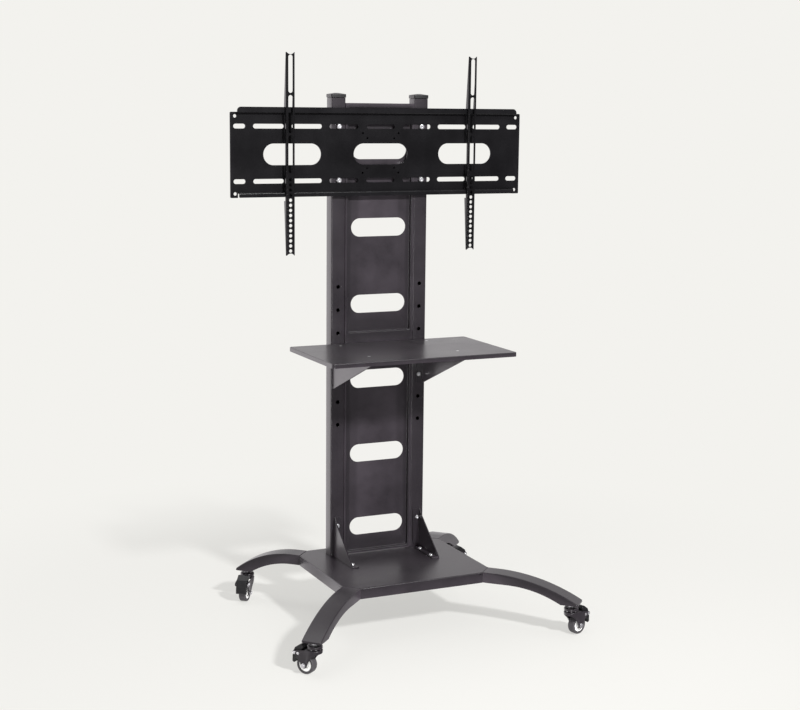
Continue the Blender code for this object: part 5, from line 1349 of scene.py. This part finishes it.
for side_name, sign in (("left", -1), ("right", 1)):
    wall, roof = -SEAM, shelf_top - SHELF_SHEET - SEAM
    under_lip, behind_lip = shelf_top - shelf_lip - SEAM, -SHELF_REAR_GAP - SHELF_SHEET - SEAM
    foot = SHELF_BOLT_HEIGHT - BRACKET_FOOT_DROP
    web = fillet([(wall, foot), (wall, under_lip), (behind_lip, under_lip), (behind_lip, roof),
                  (-BRACKET_LENGTH, roof), (-BRACKET_LENGTH, roof - BRACKET_NOSE, 0.006),
                  (wall - BRACKET_SHEET, foot)], 8)
    sides = sorted((sign * BRACKET_LINE, sign * (BRACKET_LINE - BRACKET_SHEET)))
    bracket = prisms("bracket_coated_" + side_name, [web], *sides, "YZ")
    on_tube = flange_outline(sign, BRACKET_LINE, FLANGE_WIDTH, foot, under_lip, FLANGE_CORNER)
    combine(bracket, prisms("on_tube", [on_tube], wall - BRACKET_SHEET, wall, "XZ"), "UNION")
    on_shelf = flange_outline(sign, BRACKET_LINE, FLANGE_WIDTH, -BRACKET_LENGTH, behind_lip, FLANGE_CORNER)
    combine(bracket, prisms("on_shelf", [on_shelf], roof - BRACKET_SHEET, roof), "UNION")
    soften(bracket, 0.0008, 32, 3)
    bracket.data.transform(column_spot)
    fit(bracket, coated_steel, stand_body, "frame_black", "shelf_bracket_" + side_name)

on_tubes = [(sign * TUBE_LINE, -SEAM - BRACKET_SHEET, SHELF_BOLT_HEIGHT) for sign in (-1, 1)]
fasten("bracket_bolts", small_head, on_tubes, FACING_FORWARD)
under_flanges = [(x, y - column_front, shelf_top - SHELF_SHEET - SEAM - BRACKET_SHEET)
                 for x, y in screw_spots]
fasten("shelf_screw_nuts", small_nut, under_flanges, FACING_DOWN)


# Mount plate
# Wide slotted sheet of 2.5 mm steel bolted across the tubes. Its top and bottom edges step forward into
# lips for the arms' hooks, and a small tab with a hole stands out at each corner.
PLATE_SHEET = 0.0025
PLATE_BEND = 0.0012
PLATE_HEIGHT = 0.2095
PLATE_TAB_WIDTH = 0.0155
LIP_JOGGLE = 0.0102
LOWER_LIP = 0.012
LOWER_LIP_RISE = 0.001
LIP_CORNER = 0.010
LOWER_LIP_CORNER = 0.002
PLATE_CORNER = 0.003
TAB_HOLE_RADIUS = 0.0042
TAB_HOLE_SIDE_INSET = 0.0125
TAB_HOLE_INSET = 0.010
TAB_HOLE_MARGIN = 0.003
SLOT_HEIGHT = 0.0115
SLOT_SPANS = ((0.062, 0.141), (0.1615, 0.2426), (0.2636, 0.3439), (0.3641, 0.3951))
CENTRE_SLOT_REACH = 0.0395
OVAL_HEIGHT = 0.053
OVAL_DROP = 0.1035
OVAL_SPANS = ((-0.075, 0.075), (0.164, 0.3175), (-0.3175, -0.164))
FACE_HOLE_SQUARES = (0.100, 0.075)
FACE_HOLE_DROP = 0.101
FACE_HOLE_RADIUS = 0.0027
# Painted shade: the same powder coat made darker for the plate and arms.
PLATE_SHADED_COAT_COLOUR = (0.0020, 0.0019, 0.0022)


def folded_sheet(path, thickness, bend_radius):
    """Outline of a folded sheet whose middle line follows a path with square corners."""
    points = [Vector(point) for point in path]
    last = len(points) - 1
    left, right = [], []
    for index, point in enumerate(points):
        onward = points[min(index + 1, last)] - points[min(index, last - 1)]
        behind = points[max(index, 1)] - points[max(index - 1, 0)]
        normals = [Vector((-way.y, way.x)).normalized() for way in (behind, onward)]
        offset = (normals[0] + normals[1]) * thickness / 2 / (1 + normals[0].dot(normals[1]))
        turn = behind.x * onward.y - behind.y * onward.x
        inside, outside = bend_radius, bend_radius + thickness
        if index in (0, last):
            inside = outside = 0.0
        radii = (inside, outside) if turn > 0 else (outside, inside)
        left.append((*(point + offset), radii[0]))
        right.append((*(point - offset), radii[1]))
    return fillet(left + right[::-1], 6)


# A darker copy of the powder coat with a weaker mirror, for the plate and arms: painted shade that keeps them
# darker than the tubes under the key lamp.
shaded_black_coat = powder_coat("shaded_black_coat", PLATE_SHADED_COAT_COLOUR, 0.25, 0.08, 0.26)
plate_low, plate_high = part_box("mount_plate")
plate_half = plate_high.x
lip_half = plate_half - PLATE_TAB_WIDTH
lower_half = plate_half - TAB_HOLE_SIDE_INSET - TAB_HOLE_RADIUS - TAB_HOLE_MARGIN
plate_bottom = plate_low.z
plate_top = plate_bottom + PLATE_HEIGHT
plate_front = -SEAM - PLATE_SHEET
lip_top, lower_lip_bottom = plate_high.z, plate_bottom + LOWER_LIP_RISE
middle = plate_front + PLATE_SHEET / 2


def joggled_lip(half, ledge, edge, corner):
    """Stepped lip along one edge of the plate, with round outer corners."""
    lip, far = middle - LIP_JOGGLE, 2 * ledge - edge
    section = folded_sheet([(middle, ledge), (lip, ledge), (lip, edge)], PLATE_SHEET, PLATE_BEND)
    trim = fillet([(-half, far), (half, far), (half, edge, corner), (-half, edge, corner)], 8)
    strip = prisms("lip", [section], -half, half, "YZ")
    return combine(strip, prisms("trim", [trim], plate_front - LIP_JOGGLE - PLATE_SHEET, PLATE_SHEET, "XZ"),
                   "INTERSECT")


upper, lower = plate_top - PLATE_SHEET / 2, lower_lip_bottom + LOWER_LIP - PLATE_SHEET / 2
side = plate_half
outline = fillet([
    (-side, plate_bottom, PLATE_CORNER), (-lower_half, plate_bottom), (-lower_half, lower),
    (lower_half, lower), (lower_half, plate_bottom), (side, plate_bottom, PLATE_CORNER),
    (side, plate_top, PLATE_CORNER), (lip_half, plate_top), (lip_half, upper), (-lip_half, upper),
    (-lip_half, plate_top), (-side, plate_top, PLATE_CORNER)], 5)
plate = prisms("plate_coated", [outline], plate_front, -SEAM, "XZ")
combine(plate, joggled_lip(lip_half, upper, lip_top, LIP_CORNER), "UNION")
combine(plate, joggled_lip(lower_half, lower, lower_lip_bottom, LOWER_LIP_CORNER), "UNION")
openings = []
for row in PLATE_BOLT_HEIGHTS:
    openings.append(slot(-CENTRE_SLOT_REACH, CENTRE_SLOT_REACH, SLOT_HEIGHT, row))
    for near, far in SLOT_SPANS:
        openings += [slot(near, far, SLOT_HEIGHT, row), slot(-far, -near, SLOT_HEIGHT, row)]
openings += [slot(near, far, OVAL_HEIGHT, plate_top - OVAL_DROP, 24) for near, far in OVAL_SPANS]
for square in FACE_HOLE_SQUARES:
    for u, v in ((-1, -1), (1, -1), (1, 1), (-1, 1)):
        spot = (u * square / 2, plate_top - FACE_HOLE_DROP + v * square / 2)
        openings.append(circle(FACE_HOLE_RADIUS, 32, spot))
for sign in (-1, 1):
    for height in (plate_top - TAB_HOLE_INSET, plate_bottom + TAB_HOLE_INSET):
        openings.append(circle(TAB_HOLE_RADIUS, 32, (sign * (plate_half - TAB_HOLE_SIDE_INSET), height)))
combine(plate, prisms("openings", openings, plate_front - PLATE_SHEET, PLATE_SHEET, "XZ"))
soften(plate)
plate.data.transform(column_spot)
fit(plate, shaded_black_coat, stand_body, "frame_black", "mount_plate")


# Mount plate bolts
# Four bright M8 button heads with hexagon sockets, which clamp the plate to the tubes through its slots.
PLATE_HEAD_RADIUS = 0.007
PLATE_HEAD_HEIGHT = 0.0044

plate_head = button_head("plate_head", PLATE_HEAD_RADIUS, PLATE_HEAD_HEIGHT, 0.005, 0.0029)
shank = turned("shank", [(0.004, -0.0145), (0.004, 0.0005)], 32)
combine(plate_head, shank, "UNION")
soften(plate_head, 0.0, 35)
for side_name, sign in (("left", -1), ("right", 1)):
    for row_name, row in zip(("upper", "lower"), PLATE_BOLT_HEIGHTS):
        name = "mount_plate_bolt_" + row_name + "_" + side_name
        in_slot = [(sign * TUBE_LINE, plate_front - SEAM, row)]
        bolt = fasten(name + "_zinc", plate_head, in_slot, FACING_FORWARD)
        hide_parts(name)
for head in (small_head, small_nut, screw_head, plate_head):
    bpy.data.objects.remove(head)


# TV arms
# Two channels folded from 2 mm sheet steel, with long slots and a row of bolt holes.
# Their flanges taper to the ends and are cut to hang over the plate's lips, along which they slide.
ARM_CENTRE = 0.2525
ARM_WIDTH = 0.0234
ARM_SHEET = 0.002
ARM_BEND = 0.0010
ARM_FRONT_STANDOFF = 0.008
ARM_REAR_GAP = 0.0052
ARM_TIP_DEPTH = 0.0035
ARM_NOTCH_DEPTH = 0.005
HOOK_REACH = 0.0117
HOOK_CORNER = 0.0012
ARM_LIFT_GAP = 0.010
ARM_SLOT_COUNT = 3
ARM_SLOT_WIDTH = 0.0115
ARM_SLOT_LENGTH = 0.0926
ARM_SLOT_PITCH = 0.0979
ARM_HOLE_COUNT = 15
ARM_HOLE_RADIUS = 0.00425
ARM_FIRST_SLOT_DROP = 0.006
ARM_FIRST_HOLE_DROP = 0.311
ARM_LAST_HOLE_RISE = 0.0115

for side_name, sign in (("left", -1), ("right", 1)):
    bottom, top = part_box("tv_arm_" + side_name)[0].z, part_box("tv_arm_" + side_name)[1].z
    lip_front = plate_front - LIP_JOGGLE
    front, rear = lip_front - ARM_FRONT_STANDOFF, -ARM_REAR_GAP - SEAM
    half, web = ARM_WIDTH / 2 - ARM_SHEET / 2, front + ARM_SHEET / 2
    section = folded_sheet([(half, rear), (half, web), (-half, web), (-half, rear)], ARM_SHEET, ARM_BEND)
    arm = prisms("tv_arm_coated_" + side_name, [section], bottom, top)
    cut_back, hook_front = lip_front - SEAM, lip_front + PLATE_SHEET + SEAM
    hook_bottom, lip_seat = plate_top + SEAM, lip_top + SEAM
    lift_bottom, tip, clear = lower_lip_bottom - ARM_LIFT_GAP, front + ARM_TIP_DEPTH, front - ARM_SHEET
    side_view = fillet([
        (clear, bottom), (tip, bottom), (rear, lift_bottom, 0.002), (cut_back, lift_bottom),
        (cut_back, lip_seat), (hook_front, lip_seat), (hook_front, hook_bottom, HOOK_CORNER),
        (rear, hook_bottom, HOOK_CORNER), (rear, hook_bottom + HOOK_REACH, 0.003),
        (tip, top), (clear, top)], 5)
    combine(arm, prisms("side_view", [side_view], -ARM_WIDTH, ARM_WIDTH, "YZ"), "INTERSECT")
    openings = []
    for index in range(ARM_SLOT_COUNT):
        high_end = top - ARM_FIRST_SLOT_DROP - ARM_SLOT_PITCH * index
        upright_slot = slot(high_end - ARM_SLOT_LENGTH, high_end, ARM_SLOT_WIDTH, 0.0)
        openings.append([Vector((-point.y, point.x)) for point in upright_slot])
    first, last = top - ARM_FIRST_HOLE_DROP, bottom + ARM_LAST_HOLE_RISE
    for index in range(ARM_HOLE_COUNT):
        height = first + (last - first) * index / (ARM_HOLE_COUNT - 1)
        openings.append(circle(ARM_HOLE_RADIUS, 32, (0.0, height)))
    inner = ARM_WIDTH / 2 - ARM_SHEET
    notch = (inner * inner + ARM_NOTCH_DEPTH ** 2) / (2 * ARM_NOTCH_DEPTH)
    for height in (top + notch - ARM_NOTCH_DEPTH, bottom - notch + ARM_NOTCH_DEPTH):
        openings.append(circle(notch, 64, (0.0, height)))
    combine(arm, prisms("openings", openings, front - ARM_SHEET, front + 1.5 * ARM_SHEET, "XZ"))
    soften(arm, 0.0003)
    arm.data.transform(column_spot @ Matrix.Translation((sign * ARM_CENTRE, 0.0, 0.0)))
    fit(arm, shaded_black_coat, "tv_arm_" + side_name, "frame_black", "tv_arm_" + side_name)


low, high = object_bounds()
